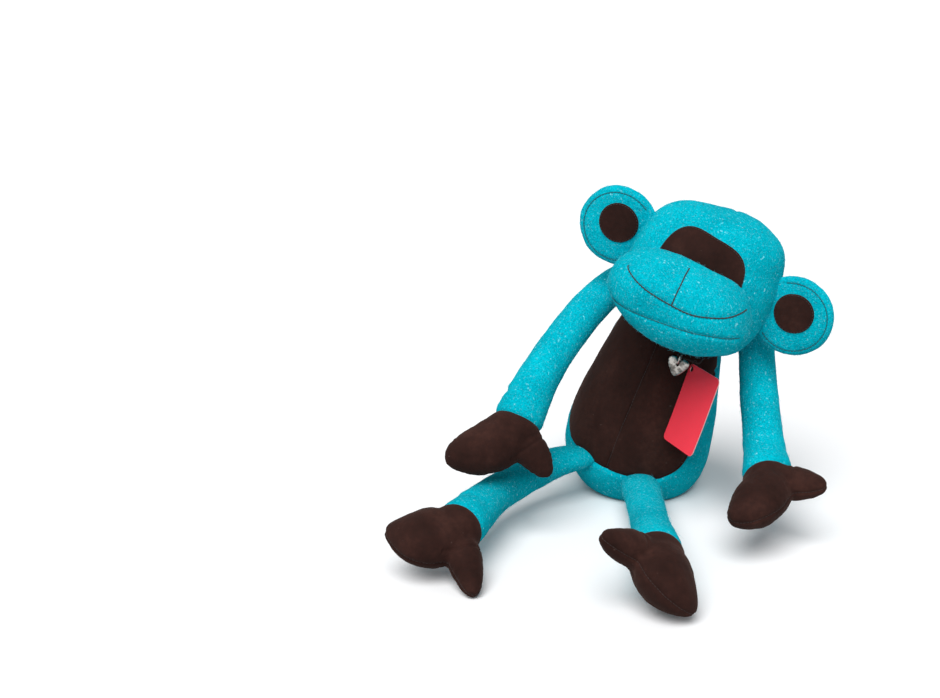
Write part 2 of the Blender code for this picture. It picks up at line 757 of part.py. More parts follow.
def sleeve(kind, name, ovals, filled_from, joint, mitt_radius, parent):
    """Skin and filling of one limb. The filling stops short of the round neck of the mitt."""
    skin = soft_form(kind + "_skin_" + name, ovals, LIMB_SIDES, parts, flat_end=True)
    inner = ovals[filled_from:]
    cut(skin, inner_form(kind + "_hollow", inner, LIMB_SIDES, FELT, flat_end=True, run_out=SLEEVE_END))
    dress(skin, FELT_BLUE, parent)
    filling = inner_form(kind + "_filling_" + name, inner, LIMB_SIDES, FELT + GAP, parts, flat_end=True)
    cut(filling, ball("mitt_neck_room", joint, mitt_radius + GAP))
    dress(filling, FIBRE, parent)


# Mitts

MITT_SIDES = 8
THUMB_SIDES = 6


def mitt_neck(rim_radius):
    """Radius of the round neck about the joint, which fills the sleeve's rim."""
    return math.hypot(rim_radius - FELT - 3 * GAP, SLEEVE_END)


def mitt_frame(joint, aims):
    """x out along the limb, y to the thumb, z out of the palm."""
    out = Vector(aims[0]).normalized()
    thumb = Vector(aims[1])
    thumb = (thumb - thumb.project(out)).normalized()
    place = Matrix((out, thumb, out.cross(thumb))).transposed().to_4x4()
    place.translation = joint
    return place


def lobe_ovals(place, neck, reach, angle, width, thickness, tip_share):
    """The main lobe: a round neck about the joint, then a form that bends to its tip."""
    made = []
    for polar in (22 * DEG, 56 * DEG, 90 * DEG):
        radius = neck * math.sin(polar)
        made.append(placed_oval(place, (-neck * math.cos(polar), 0, 0), (0, radius, 0), (0, 0, radius)))
    tip = Vector((reach * math.cos(angle), reach * math.sin(angle), 0))
    bend = Vector((0.42 * reach, 0, 0))
    for t, share in ((0.32, 1.0), (0.60, 0.97), (0.84, 0.55 + 0.55 * tip_share), (1.0, tip_share)):
        spot = 2 * t * (1 - t) * bend + t * t * tip
        along = (2 * (1 - 2 * t) * bend + 2 * t * tip).normalized()
        across = Vector((-along.y, along.x, 0)) * share * width / 2
        made.append(placed_oval(place, spot, across, (0, 0, share * thickness / 2)))
    return made


def thumb_ovals(place, reach, angle):
    along = Vector((math.cos(angle), math.sin(angle), 0))
    across = Vector((-along.y, along.x, 0))
    made = []
    for t, share in ((0.16, 1.15), (0.46, 1.16), (0.78, 0.84), (1.0, 0.28)):
        radius = share * THUMB_RADIUS
        made.append(placed_oval(place, along * t * reach, across * radius, (0, 0, radius)))
    return made


def mitt(kind, name, place, neck, lobe, thumb, parent):
    """Skin and filling of one hand or foot, its mouth hidden in the sleeve."""
    skin = soft_form(kind + "_skin_" + name, lobe, MITT_SIDES, parts)
    boolean(skin, "UNION", soft_form(kind + "_thumb", thumb, THUMB_SIDES))
    hollow = inner_form(kind + "_hollow", lobe, MITT_SIDES, SUEDE)
    boolean(hollow, "UNION", inner_form(kind + "_thumb_hollow", thumb, THUMB_SIDES, SUEDE))
    mouth = rod(
        kind + "_mouth",
        place @ Vector((-1.2 * neck, 0, 0)),
        place @ Vector((-0.6 * neck, 0, 0)),
        MITT_MOUTH_RADIUS,
        segments=12,
    )
    cut(skin, hollow, mouth)
    dress(skin, SUEDE_BROWN, parent)
    filling = inner_form(kind + "_filling_" + name, lobe, MITT_SIDES, SUEDE + GAP, parts)
    boolean(filling, "UNION", inner_form(kind + "_thumb_filling", thumb, THUMB_SIDES, SUEDE + GAP))
    dress(filling, FIBRE, parent)


for name, side in SIDES.items():
    start = shoulder(side)
    arm = pivot("shoulder_" + name, Matrix.Translation(start) @ turn(TORSO_LEAN, "Y"), root)
    points = shifted(start, ARM_ROUTES[name])
    wrist = points[-1]
    inward = (start - points[1]).normalized() * SHOULDER_RADIUS
    heel = [start + 1.02 * inward, start + 0.62 * inward]
    radii = [share * SHOULDER_RADIUS for share in (0.32, 0.80, 0.98, 1.06)]
    radii += [ARM_MID_RADIUS, ARM_MID_RADIUS, WRIST_RADIUS]
    ovals = route_ovals(heel + ended_at_rim(points), [(r, r) for r in radii])
    neck = mitt_neck(WRIST_RADIUS)
    sleeve("arm", name, ovals, 0, wrist, neck, arm)

    place = mitt_frame(wrist, HAND_AIMS[name])
    hand = pivot("wrist_" + name, place, arm)
    lobe = lobe_ovals(place, neck, HAND_REACH, HAND_ANGLE, HAND_WIDTH, HAND_THICKNESS, HAND_TIP)
    mitt("hand", name, place, neck, lobe, thumb_ovals(place, HAND_THUMB_REACH, HAND_THUMB_ANGLE), hand)

for name, side in SIDES.items():
    leg = pivot("hip_" + name, hip(side), root)
    start = hip(side).translation
    points = shifted(start, LEG_ROUTES[name])
    ankle = points[-1]
    outward = hip(side).to_3x3() @ Vector((0, -1, 0))
    heel = start - outward * 0.8 * HIP_SEAM_RADIUS
    seam = HIP_SEAM_WIDTH / 2
    thin = HIP_SEAM_RADIUS
    sizes = [(0.9 * seam, 0.5 * thin), (seam, 0.9 * thin), (seam, 0.72 * LEG_MID_RADIUS)]
    sizes += [(LEG_MID_RADIUS, LEG_MID_RADIUS), (LEG_MID_RADIUS, LEG_MID_RADIUS)]
    sizes += [((LEG_MID_RADIUS + ANKLE_RADIUS) / 2,) * 2, (ANKLE_RADIUS,) * 2]
    ovals = route_ovals([heel] + ended_at_rim(points), sizes)
    neck = mitt_neck(ANKLE_RADIUS)
    sleeve("leg", name, ovals, 2, ankle, neck, leg)

    place = mitt_frame(ankle, FOOT_AIMS[name])
    foot = pivot("ankle_" + name, place, leg)
    lobe = lobe_ovals(place, neck, FOOT_REACH, FOOT_ANGLE, FOOT_WIDTH, FOOT_THICKNESS, FOOT_TIP)
    mitt("foot", name, place, neck, lobe, thumb_ovals(place, FOOT_THUMB_REACH, FOOT_THUMB_ANGLE), foot)


# Charm: a jump ring on the loop's bridge and a heart that faces forward

CHARM = BRIDGE @ move(-HANG_SPREAD, 0, 0) @ turn(-CHARM_LEAN, "X")
charm = pivot("charm_swing", CHARM, root)
ring_drop = RING_RADIUS - RING_WIRE_RADIUS - LOOP_WIRE_RADIUS - GAP
ring_centre = CHARM @ Vector((0, 0, -ring_drop))
ring_axes = [CHARM.to_3x3() @ Vector(axis) * RING_RADIUS for axis in ((0, 1, 0), (0, 0, 1))]
ring_points = arc(ring_centre, *ring_axes, 0, 2 * math.pi, 20)[:-1]
charm_ring = wire("charm_ring", ring_points, RING_WIRE_RADIUS, True)
dress(charm_ring, SILVER, charm)

hole_drop = ring_drop + RING_RADIUS + HEART_HOLE_RADIUS - RING_WIRE_RADIUS - GAP
heart_half = [(0, 0.13), (0.22, 0.33), (0.48, 0.20), (0.40, -0.12), (0, -0.52)]
heart_outline = heart_half + [(-x, z) for x, z in reversed(heart_half[1:-1])]
heart_outline = [(x * HEART_WIDTH, z * HEART_WIDTH) for x, z in heart_outline]
heart_place = CHARM @ move(0, 0, -hole_drop) @ FRONT
heart_charm = prism("heart_charm", heart_outline, heart_place, HEART_THICKNESS / 2, parts, steps=4)
thick = Vector((0, HEART_THICKNESS, 0))
hole_middle = Vector((0, 0, -hole_drop))
hole_ends = [CHARM @ (hole_middle - thick), CHARM @ (hole_middle + thick)]
cut(heart_charm, rod("heart_hole", *hole_ends, HEART_HOLE_RADIUS, segments=12))
dress(heart_charm, SILVER, charm)


# Card: a red swing tag on a string round the same bridge

TAG = BRIDGE @ move(HANG_SPREAD, 0, 0) @ turn(-TAG_LEAN, "X") @ turn(TAG_TURN, "Z")
tag = pivot("tag_swing", TAG, root)
string_half = LOOP_WIRE_RADIUS / math.cos(TAG_TURN) + STRING_RADIUS + GAP
string_axes = [TAG.to_3x3() @ Vector(axis) * string_half for axis in ((0, 1, 0), (0, 0, 1))]
string_points = arc(TAG @ Vector((0, 0, 0)), *string_axes, 0, math.pi, 8)
string_points += arc(TAG @ Vector((0, 0, -STRING_DROP)), *string_axes, math.pi, 2 * math.pi, 8)
tag_string = wire("tag_string", string_points, STRING_RADIUS, True)
dress(tag_string, THREAD, tag)

tag_hole_drop = STRING_DROP + string_half + TAG_HOLE_RADIUS - STRING_RADIUS - GAP
card = block(
    "swing_tag",
    (-TAG_HOLE_EDGE, -TAG_THICKNESS / 2, -tag_hole_drop + TAG_HOLE_EDGE - TAG_LENGTH),
    (TAG_WIDTH - TAG_HOLE_EDGE, TAG_THICKNESS / 2, -tag_hole_drop + TAG_HOLE_EDGE),
    collection=parts,
)
card.matrix_world = TAG
round_corners = card.modifiers.new("round_corners", "BEVEL")
round_corners.width = TAG_CORNER
round_corners.segments = 3
round_corners.limit_method = "WEIGHT"
corner_weight = card.data.attributes.new("bevel_weight_edge", "FLOAT", "EDGE")
for edge in card.data.edges:
    ends = [card.data.vertices[k].co for k in edge.vertices]
    if abs((ends[0] - ends[1]).y) > TAG_THICKNESS / 2:
        corner_weight.data[edge.index].value = 1.0
through = Vector((0, 3 * TAG_THICKNESS, 0))
tag_hole = Vector((0, 0, -tag_hole_drop))
tag_hole_ends = [TAG @ (tag_hole - through), TAG @ (tag_hole + through)]
cut(card, rod("tag_hole", *tag_hole_ends, TAG_HOLE_RADIUS, segments=16))
dress(card, RED_CARD, tag)
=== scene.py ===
"""Looks of the seated stuffed monkey: puffed felt and suede skins with seams, stitches and loose fibres.

Metres, +Z up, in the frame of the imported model. The toy faces -Y and its left side is +X.
"""

import math
import random
from collections import namedtuple

import bmesh
import bpy
from mathutils import Matrix, Vector, noise
from mathutils.bvhtree import BVHTree
from mathutils.kdtree import KDTree


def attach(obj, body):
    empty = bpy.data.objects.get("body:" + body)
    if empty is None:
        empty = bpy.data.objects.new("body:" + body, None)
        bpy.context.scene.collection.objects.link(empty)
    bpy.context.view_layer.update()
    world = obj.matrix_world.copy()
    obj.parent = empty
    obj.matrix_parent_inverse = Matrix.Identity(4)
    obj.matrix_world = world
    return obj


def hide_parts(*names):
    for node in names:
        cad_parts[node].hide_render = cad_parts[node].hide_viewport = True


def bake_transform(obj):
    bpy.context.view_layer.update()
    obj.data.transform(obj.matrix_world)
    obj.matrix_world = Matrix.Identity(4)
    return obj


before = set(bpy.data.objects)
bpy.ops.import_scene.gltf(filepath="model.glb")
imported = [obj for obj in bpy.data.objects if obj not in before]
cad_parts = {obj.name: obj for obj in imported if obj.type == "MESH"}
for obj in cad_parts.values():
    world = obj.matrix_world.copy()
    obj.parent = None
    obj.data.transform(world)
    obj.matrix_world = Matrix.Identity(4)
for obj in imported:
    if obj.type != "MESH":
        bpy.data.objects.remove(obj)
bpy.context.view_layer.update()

MM = 0.001
DEG = math.pi / 180
SIDES = {"right": -1, "left": 1}
Oval = namedtuple("Oval", "centre across through")


def turn(angle, axis):
    return Matrix.Rotation(angle, 4, axis)


def move(x, y, z):
    return Matrix.Translation((x, y, z))


# Camera, at the photograph's viewing angle

CAMERA_AZIMUTH = 18 * DEG
CAMERA_ELEVATION = 17 * DEG
CAMERA_PLACE = (0.3832, -1.2409, 0.5408)

lens = bpy.data.cameras.new("camera")
lens.lens = 53.6
lens.shift_x = -0.181
lens.shift_y = 0.001
camera = bpy.data.objects.new("camera", lens)
bpy.context.scene.collection.objects.link(camera)
camera_turn = turn(CAMERA_AZIMUTH, "Z") @ turn(math.pi / 2 - CAMERA_ELEVATION, "X")
camera.matrix_world = move(*CAMERA_PLACE) @ camera_turn
bpy.context.scene.camera = camera
bpy.context.scene.view_settings.view_transform = "Standard"


# Material tools

def add(tree, kind, **sockets):
    """A shader node with its inputs set: a socket is linked, anything else is a plain value."""
    made = tree.nodes.new("ShaderNode" + kind)
    for name, value in sockets.items():
        socket = made.inputs[name.replace("_", " ")]
        if isinstance(value, bpy.types.NodeSocket):
            tree.links.new(value, socket)
        else:
            socket.default_value = value
    return made


def ramp(tree, value, *stops):
    """A colour ramp: each stop is a place and a grey level or a colour."""
    made = add(tree, "ValToRGB", Fac=value)
    while len(made.color_ramp.elements) < len(stops):
        made.color_ramp.elements.new(0.5)
    for element, (place, colour) in zip(made.color_ramp.elements, stops):
        element.position = place
        element.color = (colour, colour, colour, 1) if isinstance(colour, float) else (*colour, 1)
    return made.outputs["Color"]


def mix(tree, share, first, second):
    made = add(tree, "MixRGB", Fac=share)
    for socket, value in zip(("Color1", "Color2"), (first, second)):
        if isinstance(value, bpy.types.NodeSocket):
            tree.links.new(value, made.inputs[socket])
        else:
            made.inputs[socket].default_value = (*value, 1)
    return made.outputs["Color"]


def grain(tree, coords, scale, detail=2.0, roughness=0.5, stretch=None):
    """Noise over the surface. A stretch draws it out along the axes."""
    if stretch:
        coords = add(tree, "Mapping", Vector=coords, Scale=stretch).outputs["Vector"]
    made = add(tree, "TexNoise", Vector=coords, Scale=scale, Detail=detail, Roughness=roughness)
    return made.outputs["Fac"]


def bumped(tree, height, depth, strength=1.0, under=None):
    made = add(tree, "Bump", Height=height, Distance=depth, Strength=strength)
    if under:
        tree.links.new(under, made.inputs["Normal"])
    return made.outputs["Normal"]


def new_material(name):
    made = bpy.data.materials.new(name)
    made.use_nodes = True
    tree = made.node_tree
    coords = tree.nodes.new("ShaderNodeTexCoord").outputs["Object"]
    return made, tree, tree.nodes["Principled BSDF"], coords


def finish(tree, shader, colour, roughness, normal):
    tree.links.new(colour, shader.inputs["Base Color"])
    tree.links.new(roughness, shader.inputs["Roughness"])
    tree.links.new(normal, shader.inputs["Normal"])


def felt_material(name, deep, middle, high, fleck):
    """Boiled wool: mottled, with pale flecks of unfelted wool and a matted surface."""
    made, tree, shader, coords = new_material(name)
    broad = grain(tree, coords, 26, 3)
    mottle = grain(tree, coords, 640, 3, 0.65)
    blotch = mix(tree, 0.68, broad, mottle)
    colour = ramp(tree, blotch, (0.32, deep), (0.50, middle), (0.68, high))
    patches = ramp(tree, grain(tree, coords, 60, 2), (0.38, 0.0), (0.68, 1.0))
    flecks = ramp(tree, grain(tree, coords, 400, 2, 0.55, (1.0, 1.0, 0.7)), (0.64, 0.0), (0.74, 0.88))
    fine = ramp(tree, grain(tree, coords, 900, 1, 0.5, (0.6, 1.0, 1.0)), (0.66, 0.0), (0.80, 0.35))
    colour = mix(tree, mix(tree, patches, mix(tree, 0.5, flecks, (0, 0, 0)), flecks), colour, fleck)
    colour = mix(tree, fine, colour, fleck)
    rough = ramp(tree, mottle, (0.3, 0.82), (0.7, 1.0))
    matted = bumped(tree, grain(tree, coords, 560, 4, 0.7), 0.0013, 0.85)
    fibres = bumped(tree, grain(tree, coords, 1500, 2, 0.6, (0.45, 1.0, 1.0)), 0.0004, 0.6, matted)
    finish(tree, shader, colour, rough, fibres)
    shader.inputs["Specular IOR Level"].default_value = 0.01
    shader.inputs["Sheen Weight"].default_value = 0.10
    shader.inputs["Sheen Roughness"].default_value = 0.5
    shader.inputs["Sheen Tint"].default_value = (0.05, 0.85, 0.95, 1)
    return made


def suede_material(name, deep, middle, high):
    """Brushed suede: the nap lies in darker and lighter strokes, over a fine grain."""
    made, tree, shader, coords = new_material(name)
    strokes = grain(tree, coords, 26, 3, 0.55, (1.0, 1.6, 0.7))
    nap = grain(tree, coords, 210, 3, 0.6)
    blotch = mix(tree, 0.34, strokes, nap)
    colour = ramp(tree, blotch, (0.32, deep), (0.52, middle), (0.72, high))
    lint = ramp(tree, grain(tree, coords, 300, 1, 0.5, (0.5, 1.0, 1.0)), (0.77, 0.0), (0.83, 0.22))
    colour = mix(tree, lint, colour, (0.20, 0.14, 0.12))
    rough = ramp(tree, nap, (0.3, 0.78), (0.7, 0.95))
    dents = bumped(tree, strokes, 0.0016, 0.35)
    fine = bumped(tree, grain(tree, coords, 1700, 2, 0.6), 0.00028, 0.7, dents)
    finish(tree, shader, colour, rough, fine)
    shader.inputs["Specular IOR Level"].default_value = 0.08
    shader.inputs["Sheen Weight"].default_value = 0.08
    shader.inputs["Sheen Roughness"].default_value = 0.45
    shader.inputs["Sheen Tint"].default_value = (0.75, 0.5, 0.42, 1)
    return made


def thread_material(name, low, high):
    """Spun thread: streaks along the fibre and a lightly hairy grain."""
    made, tree, shader, coords = new_material(name)
    streaks = grain(tree, coords, 1300, 3, 0.6, (1.0, 0.6, 1.0))
    colour = ramp(tree, streaks, (0.3, low), (0.7, high))
    rough = ramp(tree, streaks, (0.3, 0.65), (0.7, 0.9))
    finish(tree, shader, colour, rough, bumped(tree, streaks, 0.0002, 0.6))
    return made


def silver_material(name):
    """Worn plated silver: fine scratches, and a duller bloom here and there."""
    made, tree, shader, coords = new_material(name)
    bloom = grain(tree, coords, 240, 3)
    scratches = grain(tree, coords, 900, 2, 0.6, (0.2, 1.0, 3.0))
    colour = ramp(tree, bloom, (0.38, (0.16, 0.152, 0.14)), (0.60, (0.58, 0.555, 0.52)))
    rough = ramp(tree, mix(tree, 0.5, bloom, scratches), (0.35, 0.20), (0.65, 0.36))
    hammered = bumped(tree, grain(tree, coords, 420, 1), 0.0005, 0.5)
    finish(tree, shader, colour, rough, bumped(tree, scratches, 0.00008, 0.5, hammered))
    shader.inputs["Metallic"].default_value = 1.0
    return made


def card_material(name, face, flat):
    """Coated card: a faint paper grain on the faces, and a pale cut edge."""
    made, tree, shader, coords = new_material(name)
    pulp = grain(tree, coords, 420, 4, 0.65)
    cloud = grain(tree, coords, 40, 2)
    ink = mix(tree, mix(tree, 0.5, pulp, cloud), tuple(0.86 * c for c in face), tuple(1.08 * c for c in face))
    direction = tree.nodes.new("ShaderNodeTexCoord").outputs["Normal"]
    along = tree.nodes.new("ShaderNodeVectorMath")
    along.operation = "DOT_PRODUCT"
    tree.links.new(direction, along.inputs[0])
    along.inputs[1].default_value = flat
    size = tree.nodes.new("ShaderNodeMath")
    size.operation = "ABSOLUTE"
    tree.links.new(along.outputs["Value"], size.inputs[0])
    on_face = ramp(tree, size.outputs["Value"], (0.55, 0.0), (0.75, 1.0))
    colour = mix(tree, on_face, (0.85, 0.52, 0.50), ink)
    rough = ramp(tree, pulp, (0.3, 0.50), (0.7, 0.66))
    shader.inputs["Specular IOR Level"].default_value = 0.2
    finish(tree, shader, colour, rough, bumped(tree, pulp, 0.00012, 0.4))
    return made


FELT_BLUE = felt_material(
    "felt", (0.0, 0.24, 0.315), (0.0, 0.42, 0.53), (0.002, 0.60, 0.72), (0.30, 0.83, 0.92)
)
SUEDE_BROWN = suede_material("suede", (0.016, 0.0065, 0.005), (0.029, 0.0115, 0.009), (0.052, 0.021, 0.016))
DARK_THREAD = thread_material("dark_thread_look", (0.012, 0.008, 0.008), (0.045, 0.025, 0.022))
BLUE_THREAD = thread_material("blue_thread_look", (0.0, 0.06, 0.08), (0.003, 0.16, 0.19))
LOOSE_WOOL = thread_material("loose_wool", (0.004, 0.46, 0.56), (0.16, 0.76, 0.86))
SILVER = silver_material("silver_look")
CARD_RED = (1.0, 0.048, 0.078)


# Studio: a white floor that bounces less light than it shows, an even sky and one broad soft lamp

FLOOR_BOUNCE = (0.58, 0.57, 0.57)
SKY_STRENGTH = 0.40
LAMP_STRENGTH = 3.15
LAMP_SPREAD = 45 * DEG
LAMP_AZIMUTH = 10 * DEG
LAMP_ELEVATION = 54 * DEG


def studio_floor():
    made, tree, shader, coords = new_material("studio_floor")
    tone = ramp(tree, grain(tree, coords, 3, 2), (0.3, (0.94, 0.942, 0.947)), (0.7, (0.96, 0.961, 0.965)))
    seen = tree.nodes.new("ShaderNodeLightPath").outputs["Is Camera Ray"]
    tree.links.new(mix(tree, seen, FLOOR_BOUNCE, tone), shader.inputs["Base Color"])
    shader.inputs["Roughness"].default_value = 0.9
    shader.inputs["Specular IOR Level"].default_value = 0.0
    bm = bmesh.new()
    bmesh.ops.create_grid(bm, x_segments=8, y_segments=8, size=30)
    mesh = bpy.data.meshes.new("studio_floor")
    bm.to_mesh(mesh)
    bm.free()
    mesh.materials.append(made)
    ground = bpy.data.objects.new("studio_floor", mesh)
    bpy.context.scene.collection.objects.link(ground)


def studio_sky():
    world = bpy.data.worlds.new("studio_sky")
    world.use_nodes = True
    bpy.context.scene.world = world
    tree = world.node_tree
    light = tree.nodes["Background"]
    light.inputs["Color"].default_value = (0.97, 0.98, 1.0, 1)
    light.inputs["Strength"].default_value = SKY_STRENGTH
    white = add(tree, "Background", Color=(1, 1, 1, 1), Strength=1.0)
    path = tree.nodes.new("ShaderNodeLightPath").outputs
    seen = path["Is Camera Ray"]
    for other in ("Is Glossy Ray", "Is Transmission Ray"):
        either = tree.nodes.new("ShaderNodeMath")
        either.operation = "MAXIMUM"
        tree.links.new(seen, either.inputs[0])
        tree.links.new(path[other], either.inputs[1])
        seen = either.outputs["Value"]
    both = add(tree, "MixShader", Fac=seen)
    tree.links.new(light.outputs["Background"], both.inputs[1])
    tree.links.new(white.outputs["Background"], both.inputs[2])
    tree.links.new(both.outputs["Shader"], tree.nodes["World Output"].inputs["Surface"])


def studio_lamp(name, strength, spread, azimuth, elevation):
    lamp = bpy.data.lights.new(name, "SUN")
    lamp.energy = strength
    lamp.angle = spread
    made = bpy.data.objects.new(name, lamp)
    bpy.context.scene.collection.objects.link(made)
    made.matrix_world = turn(azimuth, "Z") @ turn(math.pi / 2 - elevation, "X")


studio_floor()
studio_sky()
studio_lamp("soft_lamp", LAMP_STRENGTH, LAMP_SPREAD, LAMP_AZIMUTH, LAMP_ELEVATION)


# Mesh tools

def new_piece(name, bm, surface):
    bmesh.ops.recalc_face_normals(bm, faces=bm.faces)
    mesh = bpy.data.meshes.new(name)
    bm.to_mesh(mesh)
    bm.free()
    mesh.materials.append(surface)
    mesh.shade_smooth()
    made = bpy.data.objects.new(name, mesh)
    bpy.context.scene.collection.objects.link(made)
    return made


def applied(piece):
    """The piece with its modifiers made part of its mesh."""
    bpy.context.view_layer.update()
    shape = bpy.data.meshes.new_from_object(piece.evaluated_get(bpy.context.evaluated_depsgraph_get()))
    old = piece.data
    piece.modifiers.clear()
    piece.data = shape
    bpy.data.meshes.remove(old)
    return piece


def subdivided(piece, levels):
    step = piece.modifiers.new("rounding", "SUBSURF")
    step.levels = levels
    step.render_levels = levels
    return applied(piece)


def boolean(piece, operation, *others):
    """Solid work with other pieces, which are used up."""
    for other in others:
        step = piece.modifiers.new(operation.lower(), "BOOLEAN")
        step.operation = operation
        step.solver = "MANIFOLD"
        step.object = other
    applied(piece)
    for other in others:
        bpy.data.objects.remove(other)
    piece.data.shade_smooth()
    return piece


def twin(piece, name):
    made = bpy.data.objects.new(name, piece.data.copy())
    bpy.context.scene.collection.objects.link(made)
    return made


def strip(bm, low, high):
    """A band of faces between two rings of points."""
    for k in range(len(low)):
        after = (k + 1) % len(low)
        bm.faces.new((low[k], low[after], high[after], high[k]))


def cage(name, ovals, sides, surface):
    """A closed tube of faces through the ovals."""
    bm = bmesh.new()
    rings = []
    for oval in ovals:
        angles = [2 * math.pi * (k + 0.5) / sides for k in range(sides)]
        spots = [oval.centre + math.cos(a) * oval.across + math.sin(a) * oval.through for a in angles]
        rings.append([bm.verts.new(spot) for spot in spots])
    for low, high in zip(rings, rings[1:]):
        strip(bm, low, high)
    bm.faces.new(rings[0])
    bm.faces.new(rings[-1])
    return new_piece(name, bm, surface)


def smaller(half, inset):
    return half.normalized() * (half.length - inset)


def soft_form(name, ovals, sides, levels, surface, inset=0.0):
    """A swelling form: a coarse cage round the ovals, rounded by subdivision."""
    gain = 3 / (2 + math.cos(2 * math.pi / sides))
    sized = [Oval(o.centre, gain * smaller(o.across, inset), gain * smaller(o.through, inset)) for o in ovals]
    return subdivided(cage(name, sized, sides, surface), levels)


def placed_oval(place, centre, across, through):
    turned = place.to_3x3()
    return Oval(place @ Vector(centre), turned @ Vector(across), turned @ Vector(through))


def pressed(piece, outward):
    """Moves each point along its normal by outward(point)."""
    spots = piece.data.vertices
    moved = [spot.co + spot.normal * outward(spot.co) for spot in spots]
    for spot, place in zip(spots, moved):
        spot.co = place
    piece.data.update()
    return piece


def lumps(spot, size, seed):
    """Smooth noise of about -1 to 1, with swellings of this size."""
    return noise.noise(spot / size + Vector((seed * 7.3, seed * 3.1, seed * 1.7)))


def groove(distance, depth, width):
    return -depth * math.exp(-((distance / width) ** 2))


def faded(value, low, high):
    """0 below low, 1 above high, smooth between."""
    t = min(max((value - low) / (high - low), 0), 1)
    return t * t * (3 - 2 * t)


def rested(piece, soft=2.5 * MM):
    """Flattens the underside softly on the floor."""
    for spot in piece.data.vertices:
        z = spot.co.z
        spot.co.z = (z + math.sqrt(z * z + soft * soft)) / 2
    piece.data.update()
    return piece


def tree_of(piece):
    corners = [spot.co for spot in piece.data.vertices]
    return BVHTree.FromPolygons(corners, [face.vertices for face in piece.data.polygons])


def near(points):
    """A search tree of points, which gives the distance to a line drawn through them."""
    made = KDTree(len(points))
    for k, point in enumerate(points):
        made.insert(point, k)
    made.balance()
    return lambda spot: made.find(spot)[2]


def smooth_line(points, steps, closed=False):
    """A smooth line through the points, of steps spots to each stretch."""
    count = len(points)
    made = []
    for k in range(count if closed else count - 1):
        ahead = (k - 1, k, k + 1, k + 2)
        four = [points[j % count] if closed else points[min(max(j, 0), count - 1)] for j in ahead]
        p0, p1, p2, p3 = (Vector(p) for p in four)
        for step in range(steps):
            t = step / steps
            curve = 2 * p1 + (p2 - p0) * t + (2 * p0 - 5 * p1 + 4 * p2 - p3) * t * t
            made.append((curve + (3 * p1 - p0 - 3 * p2 + p3) * t ** 3) / 2)
    return made if closed else made + [Vector(points[-1])]


def cast_front(surface, place, x, z):
    """The spot and normal on a surface straight behind (x, z) of a frame's front. None where it misses."""
    facing = place.to_3x3()
    hit = surface.ray_cast(place @ Vector((x, -0.3, z)), facing @ Vector((0, 1, 0)))
    return None if hit[0] is None else (hit[0], hit[1])


def laid(surface, place, line):
    """A line of (x, z) points laid on the front of a surface: its spots and their normals."""
    found = [cast_front(surface, place, p[0], p[1]) for p in line]
    return [spot for spot in found if spot]


# Stitches, threads and fibres

def tube_ring(bm, centre, first, second, radius, sides):
    angles = [2 * math.pi * k / sides for k in range(sides)]
    return [bm.verts.new(centre + radius * (math.cos(a) * first + math.sin(a) * second)) for a in angles]


def joined_rings(bm, rings, closed=False):
    pairs = list(zip(rings, rings[1:]))
    if closed:
        pairs.append((rings[-1], rings[0]))
    for low, high in pairs:
        strip(bm, low, high)
    if not closed:
        bm.faces.new(list(reversed(rings[0])))
        bm.faces.new(rings[-1])


def stitches(name, line, length, pause, radius, surface, sink=0.25):
    """A row of thread stitches along a line of spots and normals, each one pulled in at both ends."""
    walked = [0.0]
    for (a, _), (b, _) in zip(line, line[1:]):
        walked.append(walked[-1] + (b - a).length)

    def at(distance):
        for k in range(1, len(walked)):
            if walked[k] >= distance:
                t = (distance - walked[k - 1]) / max(walked[k] - walked[k - 1], 1e-9)
                return line[k - 1][0].lerp(line[k][0], t), line[k - 1][1].lerp(line[k][1], t).normalized()
        return line[-1]

    bm = bmesh.new()
    count = max(1, int(walked[-1] / (length + pause)))
    pitch = walked[-1] / count
    for k in range(count):
        rings = []
        for t, share in ((0, 0.55), (0.12, 0.88), (0.38, 1.0), (0.62, 1.0), (0.88, 0.88), (1, 0.55)):
            spot, up = at((k + 0.5) * pitch + (t - 0.5) * (pitch - pause))
            ahead, _ = at((k + 0.5) * pitch + (t - 0.5) * (pitch - pause) + 0.3 * MM)
            behind, _ = at((k + 0.5) * pitch + (t - 0.5) * (pitch - pause) - 0.3 * MM)
            along = (ahead - behind).normalized()
            across = along.cross(up).normalized()
            height = radius * (1 - sink - 0.9 * (2 * t - 1) ** 4)
            rings.append(tube_ring(bm, spot + up * height, across, across.cross(along), radius * share, 6))
        joined_rings(bm, rings)
    return new_piece(name, bm, surface)


def twisted(name, path, radius, turns, surface, closed):
    """Two-ply thread along a path: two strands wound round each other."""
    bm = bmesh.new()
    count = len(path)
    for strand in range(2):
        rings = []
        side = None
        for k, spot in enumerate(path):
            after = path[(k + 1) % count] if closed else path[min(k + 1, count - 1)]
            before = path[k - 1] if closed or k else path[0]
            along = (after - before).normalized()
            side = side - side.project(along) if side else along.orthogonal()
            side.normalize()
            other = along.cross(side)
            angle = 2 * math.pi * turns * k / count + strand * math.pi
            offset = 0.45 * radius * (math.cos(angle) * side + math.sin(angle) * other)
            rings.append(tube_ring(bm, spot + offset, side, other, 0.55 * radius, 6))
        joined_rings(bm, rings, closed)
    return new_piece(name, bm, surface)


